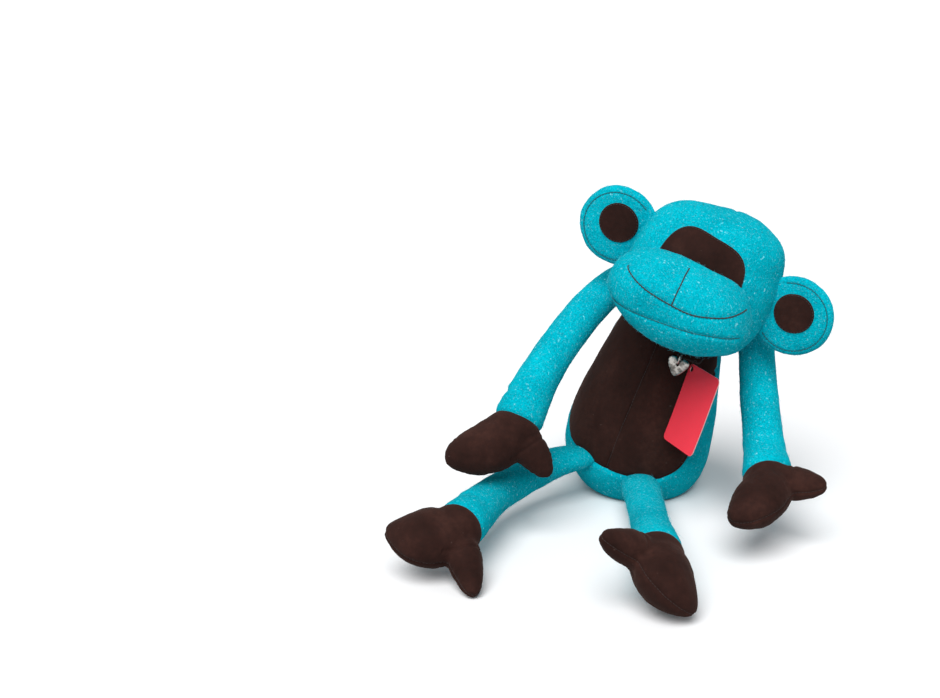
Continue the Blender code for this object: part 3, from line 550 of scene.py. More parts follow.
def fibres(name, piece, count, length, seed, clear):
    """Loose wool on a felt piece: short fibres that lie nearly flat, and grow only where clear(spot)."""
    chance = random.Random(seed)
    piece.data.calc_loop_triangles()
    corners = piece.data.vertices
    faces = piece.data.loop_triangles
    total = []
    run = 0.0
    for face in faces:
        run += face.area
        total.append(run)
    bm = bmesh.new()
    made = 0
    tries = 0
    while made < count and tries < 6 * count:
        tries += 1
        goal = chance.random() * run
        low, high = 0, len(total) - 1
        while low < high:
            middle = (low + high) // 2
            low, high = (low, middle) if total[middle] >= goal else (middle + 1, high)
        face = faces[low]
        u, v = sorted((chance.random(), chance.random()))
        a, b, c = (corners[k].co for k in face.vertices)
        spot = u * a + (v - u) * b + (1 - v) * c
        up = face.normal.copy()
        lean = Vector((chance.gauss(0, 1), chance.gauss(0, 1), chance.gauss(0, 1)))
        lean = (lean - lean.project(up)).normalized()
        curl = up.cross(lean) * chance.gauss(0, 0.5)
        reach = length * (0.5 + chance.random())
        rise = 0.25 + 0.75 * chance.random() ** 2
        if not (clear(spot) and clear(spot + up * reach * rise)):
            continue
        made += 1
        rings = []
        for t, share in ((0, 1.0), (0.4, 0.9), (0.75, 0.65), (1, 0.25)):
            way = lean * t + curl * t * t + up * rise * (t - 0.45 * t * t)
            centre = spot - up * 0.3 * MM + way * reach
            rings.append(tube_ring(bm, centre, up, lean.cross(up), share * 0.085 * MM, 3))
        joined_rings(bm, rings)
    return new_piece(name, bm, LOOSE_WOOL)


def layered(name, outline, middle, surface, place, thickness, shares, material_used, sunk=1.0 * MM):
    """A cloth patch laid on a surface: an outline of (x, z) points, filled in, with a round edge."""
    bm = bmesh.new()
    layers = []
    for lifted in (True, False):
        rings = []
        for share in shares:
            ring = []
            for point in outline:
                x = middle[0] + (point[0] - middle[0]) * share
                z = middle[1] + (point[1] - middle[1]) * share
                spot, up = cast_front(surface, place, x, z)
                edge = math.sqrt(max(0.0, 1 - max(0.0, (share - 0.93) / 0.07) ** 2))
                ring.append(bm.verts.new(spot + up * (thickness * edge if lifted else -sunk)))
            rings.append(ring)
        layers.append(rings)
        bm.faces.new(rings[0])
        for low, high in zip(rings, rings[1:]):
            strip(bm, low, high)
    strip(bm, layers[0][-1], layers[1][-1])
    return new_piece(name, bm, material_used)


# Sizes of the solids, and of the forms laid on them

FELT = 2.5 * MM
PATCH = 1.2 * MM
GAP = 0.3 * MM
TORSO_LEAN = 17 * DEG
BELLY_WIDTH = 146 * MM
BELLY_DEPTH = 128 * MM
BELLY_DROP = 62 * MM
CHEST_WIDTH = 106 * MM
CHEST_DEPTH = 90 * MM
NECK_RISE = 134 * MM
NECK_RADIUS = 43 * MM
NECK_HOLE_RADIUS = 19 * MM
NECK_PLUG_DEPTH = 24 * MM
PANEL_WIDTH = 130 * MM
PANEL_TOP_WIDTH = 88 * MM
PANEL_TOP = 134 * MM
PANEL_BOTTOM = -14 * MM
PANEL_SWAY = -8 * MM
HEAD_WIDTH = 140 * MM
HEAD_DEPTH = 100 * MM
HEAD_RISE = 67 * MM
HEAD_DROP = 50 * MM
MUZZLE_WIDTH = 138 * MM
MUZZLE_HEIGHT = 81 * MM
MUZZLE_DROP = 7.5 * MM
MUZZLE_REACH = 95 * MM
MUZZLE_SIDE = -4 * MM
HEAD_CORNER = 6.5 * MM
CHEEK = 4.5 * MM
PATCH_WIDTH = 82.5 * MM
PATCH_HEIGHT = 56.5 * MM
PATCH_SIDE = -1.2 * MM
PATCH_FULLNESS = 0.60
EAR_DIAMETER = 76 * MM
EAR_THICKNESS = 14 * MM
EAR_DISC_DIAMETER = 37 * MM
EAR_DISC_LIFT = 4.5 * MM
EAR_CHORD = 21 * MM
EAR_RING_INSET = 6 * MM
SHOULDER_RADIUS = 16 * MM
ARM_MID_RADIUS = 18 * MM
WRIST_RADIUS = 22.5 * MM
HIP_SEAM_WIDTH = 36 * MM
LEG_MID_RADIUS = 17 * MM
ANKLE_RADIUS = 22.5 * MM
SLEEVE_END = 11 * MM
SEAM_BACK = -5 * MM
BEND_START = 38 * MM
BEND_END = 9 * MM
THUMB_RADIUS = 14 * MM
LOOP_WIDTH = 22 * MM
LOOP_REACH = 10 * MM
LOOP_CORNER = 3 * MM
LOOP_WIRE_RADIUS = 0.8 * MM
LOOP_ROOT = 1.8 * MM
LOOP_SIDE = 32 * MM
LOOP_DROP = 18 * MM
HANG_SPREAD = 7 * MM
RING_RADIUS = 4.6 * MM
RING_WIRE_RADIUS = 0.7 * MM
HEART_WIDTH = 21 * MM
HEART_THICKNESS = 1.8 * MM
HEART_HOLE_RADIUS = 1.7 * MM
HEART_HOLE_SHOWN = 1.35 * MM
HEART_HOLE_LIFT = 0.4 * MM
STRING_RADIUS = 0.5 * MM
STRING_DROP = 3.4 * MM
TAG_LENGTH = 76 * MM
TAG_WIDTH = 52 * MM
TAG_THICKNESS = 0.9 * MM
TAG_CORNER = 5 * MM
TAG_HOLE_RADIUS = 2.4 * MM
TAG_HOLE_EDGE = 5 * MM

TORSO = move(-23 * MM, 0, 50 * MM) @ turn(TORSO_LEAN, "Y")
NECK = TORSO @ Vector((0, 0, NECK_RISE))
UP_NECK = TORSO.to_3x3() @ Vector((0, 0, 1))
HEAD_TURN = turn(3 * DEG, "Z") @ turn(24.5 * DEG, "Y") @ turn(3 * DEG, "X")
HEAD = Matrix.Translation(NECK + HEAD_TURN @ Vector((10 * MM, -40 * MM, 60 * MM))) @ HEAD_TURN

ARM_ROUTES = {
    "right": [(-21, -24, -6), (-38, -68, -27), (-57, -126, -67), (-66, -167, -109)],
    "left": [(23, -5, -11), (33, -36, -61), (48, -71, -107), (62, -109, -127)],
}
HAND_AIMS = {
    "right": [(-0.35, -0.56, -0.75), (0.87, 0.13, -0.47)],
    "left": [(0.36, -0.905, -0.18), (0.93, 0.35, 0.14)],
}
LEG_ROUTES = {
    "right": [(-18, -26, 3), (-38, -57, -5), (-47, -105, -4), (-46, -143, -3), (-47, -183, -5)],
    "left": [(11, -24, 2), (24, -54, 4), (48, -112, 8), (61, -143, 10), (73, -176, 12)],
}
FOOT_AIMS = {
    "right": [(-0.27, -0.90, -0.30), (0.87, -0.15, -0.42)],
    "left": [(0.20, -0.98, 0.03), (-0.77, 0, 0.64)],
}
Mitt = namedtuple("Mitt", "reach angle width thickness tip thumb_reach thumb_angle")
HAND = Mitt(69 * MM, -37 * DEG, 50 * MM, 44 * MM, 0.28, 56 * MM, 66 * DEG)
FOOT = Mitt(62 * MM, -48 * DEG, 58 * MM, 48 * MM, 0.16, 70 * MM, 52 * DEG)


# Cloth that spans a joint

bends = {}


def bend(piece, parent, child, start, end):
    """Notes the piece's joint in bends: the parent before start, the child after end. Bakes its placement
    into its mesh. Its loose wool is noted alike.
    """
    bends[piece.name] = (parent, child, start, end)
    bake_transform(piece)
    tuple(start)
    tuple(end)


# Solid cutters

def ball(name, centre, radius):
    bm = bmesh.new()
    bmesh.ops.create_icosphere(bm, subdivisions=4, radius=radius, matrix=Matrix.Translation(centre))
    return new_piece(name, bm, FELT_BLUE)


def rod(name, start, end, radius, sides=48):
    along = (end - start).normalized()
    first = along.orthogonal().normalized()
    bm = bmesh.new()
    rings = [tube_ring(bm, centre, first, along.cross(first), radius, sides) for centre in (start, end)]
    joined_rings(bm, rings)
    return new_piece(name, bm, FELT_BLUE)


def prism(name, outline, place, near_side, far_side):
    """The outline's (x, z) points, carried along y from near_side to far_side."""
    bm = bmesh.new()
    rings = [[bm.verts.new(place @ Vector((p[0], y, p[1]))) for p in outline] for y in (near_side, far_side)]
    joined_rings(bm, rings)
    return new_piece(name, bm, FELT_BLUE)


# Torso

def torso_oval(height, belly_share, chest_share):
    half_width = (belly_share * BELLY_WIDTH + chest_share * CHEST_WIDTH) / 2
    half_depth = (belly_share * BELLY_DEPTH + chest_share * CHEST_DEPTH) / 2
    return placed_oval(TORSO, (0, 0, height), (half_width, 0, 0), (0, half_depth, 0))


def neck_oval(angle):
    radius = NECK_RADIUS * math.sin(angle)
    height = NECK_RISE + NECK_RADIUS * math.cos(angle)
    return placed_oval(TORSO, (0, 0, height), (radius, 0, 0), (0, radius, 0))


TORSO_OVALS = [
    torso_oval(-BELLY_DROP, 0.46, 0),
    torso_oval(-0.78 * BELLY_DROP, 0.76, 0),
    torso_oval(-0.38 * BELLY_DROP, 0.97, 0),
    torso_oval(0.04 * NECK_RISE, 1.01, 0),
    torso_oval(0.30 * NECK_RISE, 0.95, 0),
    torso_oval(0.60 * NECK_RISE, 0.42, 0.56),
    torso_oval(0.86 * NECK_RISE, 0, 1),
    neck_oval(80 * DEG),
    neck_oval(50 * DEG),
    neck_oval(22 * DEG),
]


def shoulder(side):
    return TORSO @ Vector((side * (NECK_RADIUS + 5.4 * MM), 16 * MM, NECK_RISE + 24 * MM))


def hip(side):
    """Frame of a hip seam on the belly: x along the seam, -y out of the belly."""
    angle = -5 * DEG + side * 27 * DEG
    half_width = 0.96 * BELLY_WIDTH / 2
    half_depth = 0.96 * BELLY_DEPTH / 2
    spot = Vector((half_width * math.sin(angle), -half_depth * math.cos(angle), -17 * MM))
    outward = TORSO.to_3x3() @ Vector((spot.x / half_width ** 2, spot.y / half_depth ** 2, 0))
    outward.z = 0
    outward.normalize()
    seam = Vector((-outward.y, outward.x, 0))
    place = Matrix((seam, -outward, Vector((0, 0, 1)))).transposed().to_4x4()
    place.translation = TORSO @ spot
    return place


def panel_middle(height):
    return PANEL_SWAY * (PANEL_TOP - height) / (PANEL_TOP - PANEL_BOTTOM)


def panel_outline():
    heights = [PANEL_TOP, 0.55 * PANEL_TOP, 0.12 * PANEL_TOP, 0.42 * PANEL_BOTTOM, 0.85 * PANEL_BOTTOM]
    widths = [PANEL_TOP_WIDTH, 0.90 * PANEL_WIDTH, PANEL_WIDTH, 0.80 * PANEL_WIDTH, 0.46 * PANEL_WIDTH]
    right = [(panel_middle(z) - w / 2, z) for w, z in zip(widths, heights)]
    left = [(panel_middle(z) + w / 2, z) for w, z in reversed(list(zip(widths, heights)))]
    return smooth_line(right + [(panel_middle(PANEL_BOTTOM), PANEL_BOTTOM)] + left, 14, closed=True)


def widened(outline, margin):
    """The outline moved out by margin."""
    count = len(outline)
    made = []
    for k, point in enumerate(outline):
        run = outline[(k + 1) % count] - outline[k - 1]
        made.append(point + Vector((-run.y, run.x)).normalized() * -margin)
    return made


def make_torso():
    body = soft_form("torso_felt", TORSO_OVALS, 12, 4, FELT_BLUE)
    surface = tree_of(body)
    outline = panel_outline()
    dense = smooth_line(outline, 4, closed=True)
    edge = near([spot for spot, _ in laid(surface, TORSO, dense)])
    levels = [PANEL_BOTTOM + (PANEL_TOP - PANEL_BOTTOM) * k / 200 for k in range(201)]
    middle = [(panel_middle(z), z) for z in levels]
    seam = near([spot for spot, _ in laid(surface, TORSO, middle)])
    inside = TORSO.inverted()

    def outward(spot):
        own = inside @ spot
        free = 1 - faded(own.z, NECK_RISE - 30 * MM, NECK_RISE - 5 * MM)
        made = free * (0.7 * MM * lumps(spot, 22 * MM, 1) + 0.25 * MM * lumps(spot, 7 * MM, 2))
        made += groove(edge(spot), 1.9 * MM, 2.4 * MM) + groove(seam(spot), 1.9 * MM, 1.5 * MM)
        pucker = math.exp(-((edge(spot) - 5 * MM) / (4 * MM)) ** 2)
        made += 0.30 * MM * pucker * lumps(spot, 3.2 * MM, 3)
        if own.y > 0:
            made += free * groove(abs(own.x), 1.0 * MM, 1.8 * MM)
        return made

    pressed(body, outward)
    rested(body)
    sewn = laid(tree_of(body), TORSO, middle)
    row = stitches("belly_stitches", sewn, 2.6 * MM, 0.3 * MM, 0.30 * MM, DARK_THREAD)
    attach(row, "torso")
    window = prism("panel_window", widened(outline, 0.15 * MM), TORSO, -0.5, -0.06 * BELLY_DEPTH)
    socket = rod(
        "neck_socket",
        NECK + UP_NECK * (NECK_RADIUS - NECK_PLUG_DEPTH - 1 * MM),
        NECK + UP_NECK * NECK_RADIUS * 1.3,
        NECK_HOLE_RADIUS + 0.8 * MM,
    )
    far = 0.5
    for name, side in SIDES.items():
        half = twin(body, "belly_suede_" + name)
        half.data.materials[0] = SUEDE_BROWN
        shape = prism("panel_shape", outline, TORSO, -0.5, -0.06 * BELLY_DEPTH)
        slope = math.atan2(-PANEL_SWAY, PANEL_TOP - PANEL_BOTTOM)
        plane = TORSO @ move(0, 0, PANEL_TOP) @ turn(slope, "Y")
        corners = [(side * 0.05 * MM, -far), (side * far, -far), (side * far, far), (side * 0.05 * MM, far)]
        own_half = prism("own_half", [Vector(c) for c in corners], plane, -far, far)
        boolean(half, "INTERSECT", shape, own_half)
        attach(half, "torso")
        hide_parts("belly_panel_" + name)
    boolean(body, "DIFFERENCE", window, socket)
    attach(body, "torso")
    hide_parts("torso_skin", "torso_filling")
    return body


def make_neck():
    """The plug of the neck, under the head: a round cap on a drawn-in stalk."""
    place = Matrix.Translation(NECK) @ turn(TORSO_LEAN, "Y")
    foot = NECK_RADIUS - NECK_PLUG_DEPTH
    cap = math.asin(NECK_HOLE_RADIUS / NECK_RADIUS)
    rim = NECK_HOLE_RADIUS - 0.4 * MM
    profile = [(0.5 * rim, foot), (0.94 * rim, foot + 0.6 * MM), (rim, foot + 3 * MM), (rim, foot + 10 * MM)]
    for share in (1.0, 0.75, 0.45, 0.15):
        reach = NECK_RADIUS - 0.3 * MM
        profile.append((reach * math.sin(cap * share) - 0.4 * MM * share, reach * math.cos(cap * share)))
    ovals = [placed_oval(place, (0, 0, z), (r, 0, 0), (0, r, 0)) for r, z in profile]
    neck = subdivided(cage("neck_felt", ovals, 24, FELT_BLUE), 2)
    pressed(neck, lambda spot: 0.2 * MM * lumps(spot, 8 * MM, 5) - 0.2 * MM)
    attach(neck, "neck")
    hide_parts("neck_filling")


# Head and muzzle

def head_oval(height, width_share, depth_share, back_share):
    half_width = width_share * HEAD_WIDTH / 2
    half_depth = depth_share * HEAD_DEPTH / 2
    return placed_oval(HEAD, (0, back_share * HEAD_DEPTH, height), (half_width, 0, 0), (0, half_depth, 0))


HEAD_OVALS = [
    head_oval(-HEAD_DROP, 0.62, 0.42, -0.22),
    head_oval(-0.84 * HEAD_DROP, 0.88, 0.68, -0.15),
    head_oval(-0.34 * HEAD_DROP, 1.0, 0.94, -0.04),
    head_oval(0.18 * HEAD_RISE, 1.02, 1.02, 0),
    head_oval(0.60 * HEAD_RISE, 0.96, 0.92, 0.02),
    head_oval(0.90 * HEAD_RISE, 0.70, 0.64, 0.02),
    head_oval(HEAD_RISE, 0.36, 0.30, 0.02),
]


def muzzle_oval(reach_share, width_share, height_share):
    half_width = width_share * MUZZLE_WIDTH / 2
    half_height = height_share * MUZZLE_HEIGHT / 2
    centre = (MUZZLE_SIDE, -reach_share * MUZZLE_REACH, -MUZZLE_DROP)
    return placed_oval(HEAD, centre, (half_width, 0, 0), (0, 0, half_height))


MUZZLE_OVALS = [
    muzzle_oval(0.14, 0.86, 0.80),
    muzzle_oval(0.46, 1.01, 1.01),
    muzzle_oval(0.74, 0.95, 0.93),
    muzzle_oval(0.92, 0.72, 0.68),
    muzzle_oval(1.0, 0.38, 0.32),
]

# Lines on the face, as (x, z) from the middle of the muzzle in millimetres
MOUTH = [(-52, 10.2), (-47.6, 8), (-26, 4.9), (-0.5, 3.5), (17.5, 4), (32, 7.5), (47.5, 12.5), (62, 20.5)]
PHILTRUM = [(-3.5, 30), (-1.8, 20), (-0.5, 4)]
CHIN = [(-63, -27), (-48, -23.5), (-27, -19.3), (15.4, -12.2), (45.7, -6.1), (63, -4)]


def scaled(points):
    return [(x * MM + MUZZLE_SIDE, z * MM) for x, z in points]


def patch_outline():
    """A half oval with full shoulders, whose foot is hidden behind the muzzle."""
    made = []
    for step in range(97):
        angle = math.pi * step / 96
        across = math.copysign(abs(math.cos(angle)) ** PATCH_FULLNESS, math.cos(angle))
        made.append((PATCH_SIDE + across * PATCH_WIDTH / 2, math.sin(angle) ** PATCH_FULLNESS * PATCH_HEIGHT))
    foot = -6 * MM
    steps = 24
    start = PATCH_SIDE - PATCH_WIDTH / 2
    made += [(start + PATCH_WIDTH * k / steps, foot) for k in range(steps + 1)]
    return made


def make_head():
    head = soft_form("head_felt", HEAD_OVALS, 12, 3, FELT_BLUE)
    inside = HEAD.inverted()
    arch = [p for p in patch_outline() if p[1] > 0]
    edge = near([spot for spot, _ in laid(tree_of(head), HEAD, arch)])

    def outward(spot):
        own = inside @ spot
        made = 0.8 * MM * lumps(spot, 26 * MM, 11) + 0.25 * MM * lumps(spot, 8 * MM, 12)
        made += groove(edge(spot), 0.6 * MM, 2.5 * MM)
        made += HEAD_CORNER * faded(own.x, -36 * MM, 24 * MM) * faded(own.z, 36 * MM, 60 * MM)
        if own.y > 0:
            made += groove(abs(own.x), 1.0 * MM, 2.0 * MM)
        return made * faded((spot - NECK).length, NECK_RADIUS, NECK_RADIUS + 12 * MM)

    pressed(head, outward)
    surface = tree_of(head)
    boolean(head, "DIFFERENCE", ball("head_seat", NECK, NECK_RADIUS + 0.8 * MM))
    boolean(head, "DIFFERENCE", soft_form("torso_room", TORSO_OVALS, 12, 3, FELT_BLUE, inset=-1.0 * MM))
    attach(head, "head")
    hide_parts("head_skin", "head_filling")

    shares = [0.08, 0.3, 0.5, 0.68, 0.82, 0.91, 0.95, 0.975, 0.99, 1.0]
    patch_middle = (PATCH_SIDE, 24 * MM)
    patch = layered("face_suede", patch_outline(), patch_middle, surface, HEAD, PATCH, shares, SUEDE_BROWN)
    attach(patch, "head")
    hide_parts("face_patch")

    inner = [(PATCH_SIDE + 0.965 * (x - PATCH_SIDE), 24 * MM + 0.955 * (z - 24 * MM)) for x, z in arch]
    rim = [(spot + up * PATCH, up) for spot, up in laid(surface, HEAD, smooth_line(inner, 2))]
    edging = stitches("face_suede_stitches", rim, 2.0 * MM, 0.9 * MM, 0.32 * MM, DARK_THREAD)
    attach(edging, "head")
    return head


def make_muzzle():
    muzzle = soft_form("muzzle_felt", MUZZLE_OVALS, 12, 4, FELT_BLUE)
    first = tree_of(muzzle)
    lines = [smooth_line(scaled(points), 24) for points in (MOUTH, PHILTRUM)]
    sewn = near([spot for line in lines for spot, _ in laid(first, HEAD, line)])
    chin_line = smooth_line(scaled(CHIN), 40)
    chin = near([spot for spot, _ in laid(first, HEAD, chin_line)])

    inside = HEAD.inverted()

    def outward(spot):
        own = inside @ spot
        made = 0.8 * MM * lumps(spot, 24 * MM, 21) + 0.25 * MM * lumps(spot, 8 * MM, 22)
        made += CHEEK * faded(own.x, 6 * MM, 34 * MM) * faded(own.z, 4 * MM, 26 * MM)
        made += groove(sewn(spot), 0.9 * MM, 2.2 * MM)
        return made + groove(chin(spot), 1.3 * MM, 2.0 * MM)

    pressed(muzzle, outward)
    surface = tree_of(muzzle)
    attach(muzzle, "head")
    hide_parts("muzzle_skin", "muzzle_filling")
    for name, line in zip(("mouth_stitches", "philtrum_stitches"), lines):
        row = stitches(name, laid(surface, HEAD, line), 3.4 * MM, 0.02 * MM, 0.58 * MM, DARK_THREAD, 0.1)
        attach(row, "head")
    chin_row = laid(surface, HEAD, chin_line)
    row = stitches("chin_stitches", chin_row, 3.0 * MM, 0.05 * MM, 0.42 * MM, BLUE_THREAD)
    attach(row, "head")
    return muzzle


# Ears

def ear_hinge(side):
    return HEAD @ move(side * (HEAD_WIDTH / 2 - 1.5 * MM), -4 * MM, 13 * MM)


EAR_PROFILE = [(0.10, 0.48), (0.30, 0.49), (0.52, 0.48), (0.66, 0.46), (0.76, 0.43), (0.815, 0.405)]
EAR_PROFILE += [(0.838, 0.345), (0.862, 0.375), (0.90, 0.345), (0.945, 0.26), (0.975, 0.15), (0.99, 0.05)]


def ear_bend(piece, name, side):
    """Notes an ear's piece with the head at the seam and with the ear further out."""
    place = ear_hinge(side)
    start = place @ Vector((-side * 1 * MM, 0, 0))
    bend(piece, "head", "ear_" + name, start, place @ Vector((side * 13 * MM, 0, 0)))


def make_ear(name, side):
    place = ear_hinge(side)
    middle = place @ move(side * EAR_CHORD, 0, 0)
    radius = EAR_DIAMETER / 2
    rings = [(share, -depth) for share, depth in EAR_PROFILE]
    rings += [(0.972, 0.0)]
    rings += [(share, depth) for share, depth in reversed(EAR_PROFILE)]
    ovals = []
    for share, depth in rings:
        r = share * radius
        ovals.append(placed_oval(middle, (0, depth * EAR_THICKNESS, 0), (r, 0, 0), (0, 0, r)))
    ear = subdivided(cage("ear_felt_" + name, ovals, 40, FELT_BLUE), 2)
    inside = place.inverted()
    for spot in ear.data.vertices:
        own = inside @ spot.co
        own.y *= 0.55 + 0.45 * faded(side * own.x, -2 * MM, 16 * MM)
        spot.co = place @ own
    ear.data.update()
    pressed(ear, lambda spot: 0.5 * MM * lumps(spot, 15 * MM, 31 + side) + 0.2 * MM * lumps(spot, 6 * MM, 33))
    surface = tree_of(ear)
    bm = bmesh.new()
    bm.from_mesh(ear.data)
    inward = place.to_3x3() @ Vector((-side, 0, 0))
    root = place @ Vector((-side * 9 * MM, 0, 0))
    parts = bm.verts[:] + bm.edges[:] + bm.faces[:]
    bmesh.ops.bisect_plane(bm, geom=parts, plane_co=root, plane_no=inward, clear_outer=True)
    bmesh.ops.holes_fill(bm, edges=[e for e in bm.edges if e.is_boundary], sides=0)
    bm.to_mesh(ear.data)
    bm.free()
    ear_bend(ear, name, side)
    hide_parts("ear_front_" + name, "ear_back_" + name)

    disc_radius = EAR_DISC_DIAMETER / 2
    angles = [k * math.pi / 40 for k in range(80)]
    circle = [(disc_radius * math.cos(a), EAR_DISC_LIFT + disc_radius * math.sin(a)) for a in angles]
    shares = [0.1, 0.4, 0.65, 0.82, 0.91, 0.95, 0.975, 0.99, 1.0]
    disc_middle = (0, EAR_DISC_LIFT)
    disc_name = "ear_suede_" + name
    disc = layered(disc_name, circle, disc_middle, surface, middle, PATCH, shares, SUEDE_BROWN, 0.8 * MM)
    ear_bend(disc, name, side)
    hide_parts("ear_disc_" + name)

    inner = [(0.93 * x, EAR_DISC_LIFT + 0.93 * (z - EAR_DISC_LIFT)) for x, z in circle + circle[:1]]
    rim = [(spot + up * PATCH, up) for spot, up in laid(surface, middle, inner)]
    edging = stitches("ear_suede_stitches_" + name, rim, 1.9 * MM, 0.9 * MM, 0.30 * MM, DARK_THREAD)
    ear_bend(edging, name, side)

    reach = radius - EAR_RING_INSET
    start = math.acos(min(1, (EAR_CHORD - 3 * MM) / reach))
    ring = []
    for k in range(181):
        angle = start + (2 * math.pi - 2 * start) * k / 180
        ring.append((-side * reach * math.cos(angle), reach * math.sin(angle)))
    sewn = laid(surface, middle, ring)
    row = stitches("ear_ring_stitches_" + name, sewn, 2.8 * MM, 0.1 * MM, 0.46 * MM, BLUE_THREAD)
    ear_bend(row, name, side)
    return ear


# Limbs

def route_ovals(points, sizes):
    made = []
    for k, (point, (half_width, half_height)) in enumerate(zip(points, sizes)):
        before = points[max(k - 1, 0)]
        after = points[min(k + 1, len(points) - 1)]
        along = (after - before).normalized()
        across = along.cross(Vector((0, 0, 1))).normalized()
        made.append(Oval(point, across * half_width, across.cross(along) * half_height))
    return made


def mitt_neck(rim_radius):
    return math.hypot(rim_radius - FELT - 3 * GAP, SLEEVE_END)


def rim_ring(rim, along, back, wider):
    """The oval of a sleeve's rim, moved back along the sleeve and made wider."""
    return Oval(rim.centre - along * back, smaller(rim.across, -wider), smaller(rim.through, -wider))


def limb_end(ovals, steps):
    """Ovals about the seam of a limb and its mitt. A step is a way back along the limb, and a widening."""
    rim = ovals[-1]
    along = (rim.centre - ovals[-2].centre).normalized()
    return [rim_ring(rim, along, SEAM_BACK + back * MM, wider * MM) for back, wider in steps]


SLEEVE_CLOSE = [(8, 0), (2.5, -0.2), (0.3, -1.6), (-3, -3.4), (-8, -6), (-9, -13)]
HEEL_FORM = [(-0.6, -5), (-0.3, -2), (-2, 0.9), (-6, 1.4), (-12, 0.8), (-19, -4), (-24, -14)]


def sleeve(kind, name, ovals, joint, parent, child, seed):
    felt = soft_form(kind + "_felt_" + name, ovals[:-1] + limb_end(ovals, SLEEVE_CLOSE), 8, 3, FELT_BLUE)
    rim = ovals[-1]
    along = (rim.centre - ovals[-2].centre).normalized()
    first = rim.across.normalized()
    second = rim.through.normalized()
    start = ovals[0].centre

    def outward(spot):
        back = (rim.centre - spot).dot(along) - SEAM_BACK
        angle = math.atan2((spot - rim.centre).dot(second), (spot - rim.centre).dot(first))
        apart = faded((spot - start).length, 14 * MM, 40 * MM)
        made = apart * (0.8 * MM * lumps(spot, 20 * MM, seed) + 0.25 * MM * lumps(spot, 7 * MM, seed + 1))
        if back < 60 * MM:
            gather = math.exp(-max(back, 0) / (6 * MM)) * faded(back, -1 * MM, 2 * MM)
            made += 0.35 * MM * gather * math.sin(11 * angle + 3 * lumps(spot, 12 * MM, seed + 2))
            wave = 26 * MM + 3.5 * MM * math.sin(angle + seed) + 2 * MM * math.sin(2 * angle + 2 * seed)
            fold = 0.55 + 0.45 * math.sin(angle * 1.0 + 1.3 * seed)
            made += groove(abs(back - wave), 1.5 * MM * fold, 3.2 * MM)
            made -= groove(abs(back - wave - 6 * MM), 0.6 * MM * fold, 4 * MM)
        return made

    pressed(felt, outward)
    rested(felt)
    bend(felt, parent, child, joint - along * BEND_START, joint - along * BEND_END)
    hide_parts(kind + "_skin_" + name, kind + "_filling_" + name)
    return felt


def mitt_frame(joint, aims):
    """x out along the limb, y to the thumb, z out of the palm."""
    out = Vector(aims[0]).normalized()
    thumb = Vector(aims[1])
    thumb = (thumb - thumb.project(out)).normalized()
    place = Matrix((out, thumb, out.cross(thumb))).transposed().to_4x4()
    place.translation = joint
    return place


def lobe_ovals(place, neck, form):
    made = []
    for polar in (22 * DEG, 56 * DEG, 90 * DEG):
        radius = neck * math.sin(polar)
        made.append(placed_oval(place, (-neck * math.cos(polar), 0, 0), (0, radius, 0), (0, 0, radius)))
    tip = Vector((form.reach * math.cos(form.angle), form.reach * math.sin(form.angle), 0))
    elbow = Vector((0.42 * form.reach, 0, 0))
    for t, share in ((0.32, 1.0), (0.60, 0.97), (0.84, 0.55 + 0.55 * form.tip), (1.0, form.tip)):
        spot = 2 * t * (1 - t) * elbow + t * t * tip
        along = (2 * (1 - 2 * t) * elbow + 2 * t * tip).normalized()
        across = Vector((-along.y, along.x, 0)) * share * form.width / 2
        made.append(placed_oval(place, spot, across, (0, 0, share * form.thickness / 2)))
    return made


def thumb_ovals(place, form):
    along = Vector((math.cos(form.thumb_angle), math.sin(form.thumb_angle), 0))
    across = Vector((-along.y, along.x, 0))
    made = []
    for t, share in ((0.16, 1.15), (0.46, 1.16), (0.78, 0.84), (1.0, 0.28)):
        radius = share * THUMB_RADIUS
        made.append(placed_oval(place, along * t * form.thumb_reach, across * radius, (0, 0, radius)))
    return made


def middle_seam(piece, place, start):
    """Where a mitt's palm and back meet: the longest loop in its middle plane, as spots and normals."""
    bm = bmesh.new()
    bm.from_mesh(piece.data)
    everything = bm.verts[:] + bm.edges[:] + bm.faces[:]
    plane = place.to_3x3() @ Vector((0, 0, 1))
    found = bmesh.ops.bisect_plane(bm, geom=everything, plane_co=place.translation, plane_no=plane)
    bm.normal_update()
    links = {}
    for edge in found["geom_cut"]:
        if isinstance(edge, bmesh.types.BMEdge):
            for a, b in (edge.verts, reversed(edge.verts)):
                links.setdefault(a, []).append(b)
    best = []
    seen = set()
    for first in links:
        loop = []
        onward = [] if first in seen else [first]
        while onward:
            loop.append(onward[0])
            seen.add(onward[0])
            onward = [spot for spot in links[loop[-1]] if spot not in seen]
        best = max(best, loop, key=len)
    inside = place.inverted()
    heights = [(inside @ spot.co).x for spot in best]
    turned = heights.index(min(heights))
    order = best[turned:] + best[:turned]
    line = [(spot.co.copy(), spot.normal.copy()) for spot in order if (inside @ spot.co).x > start]
    bm.free()
    return line


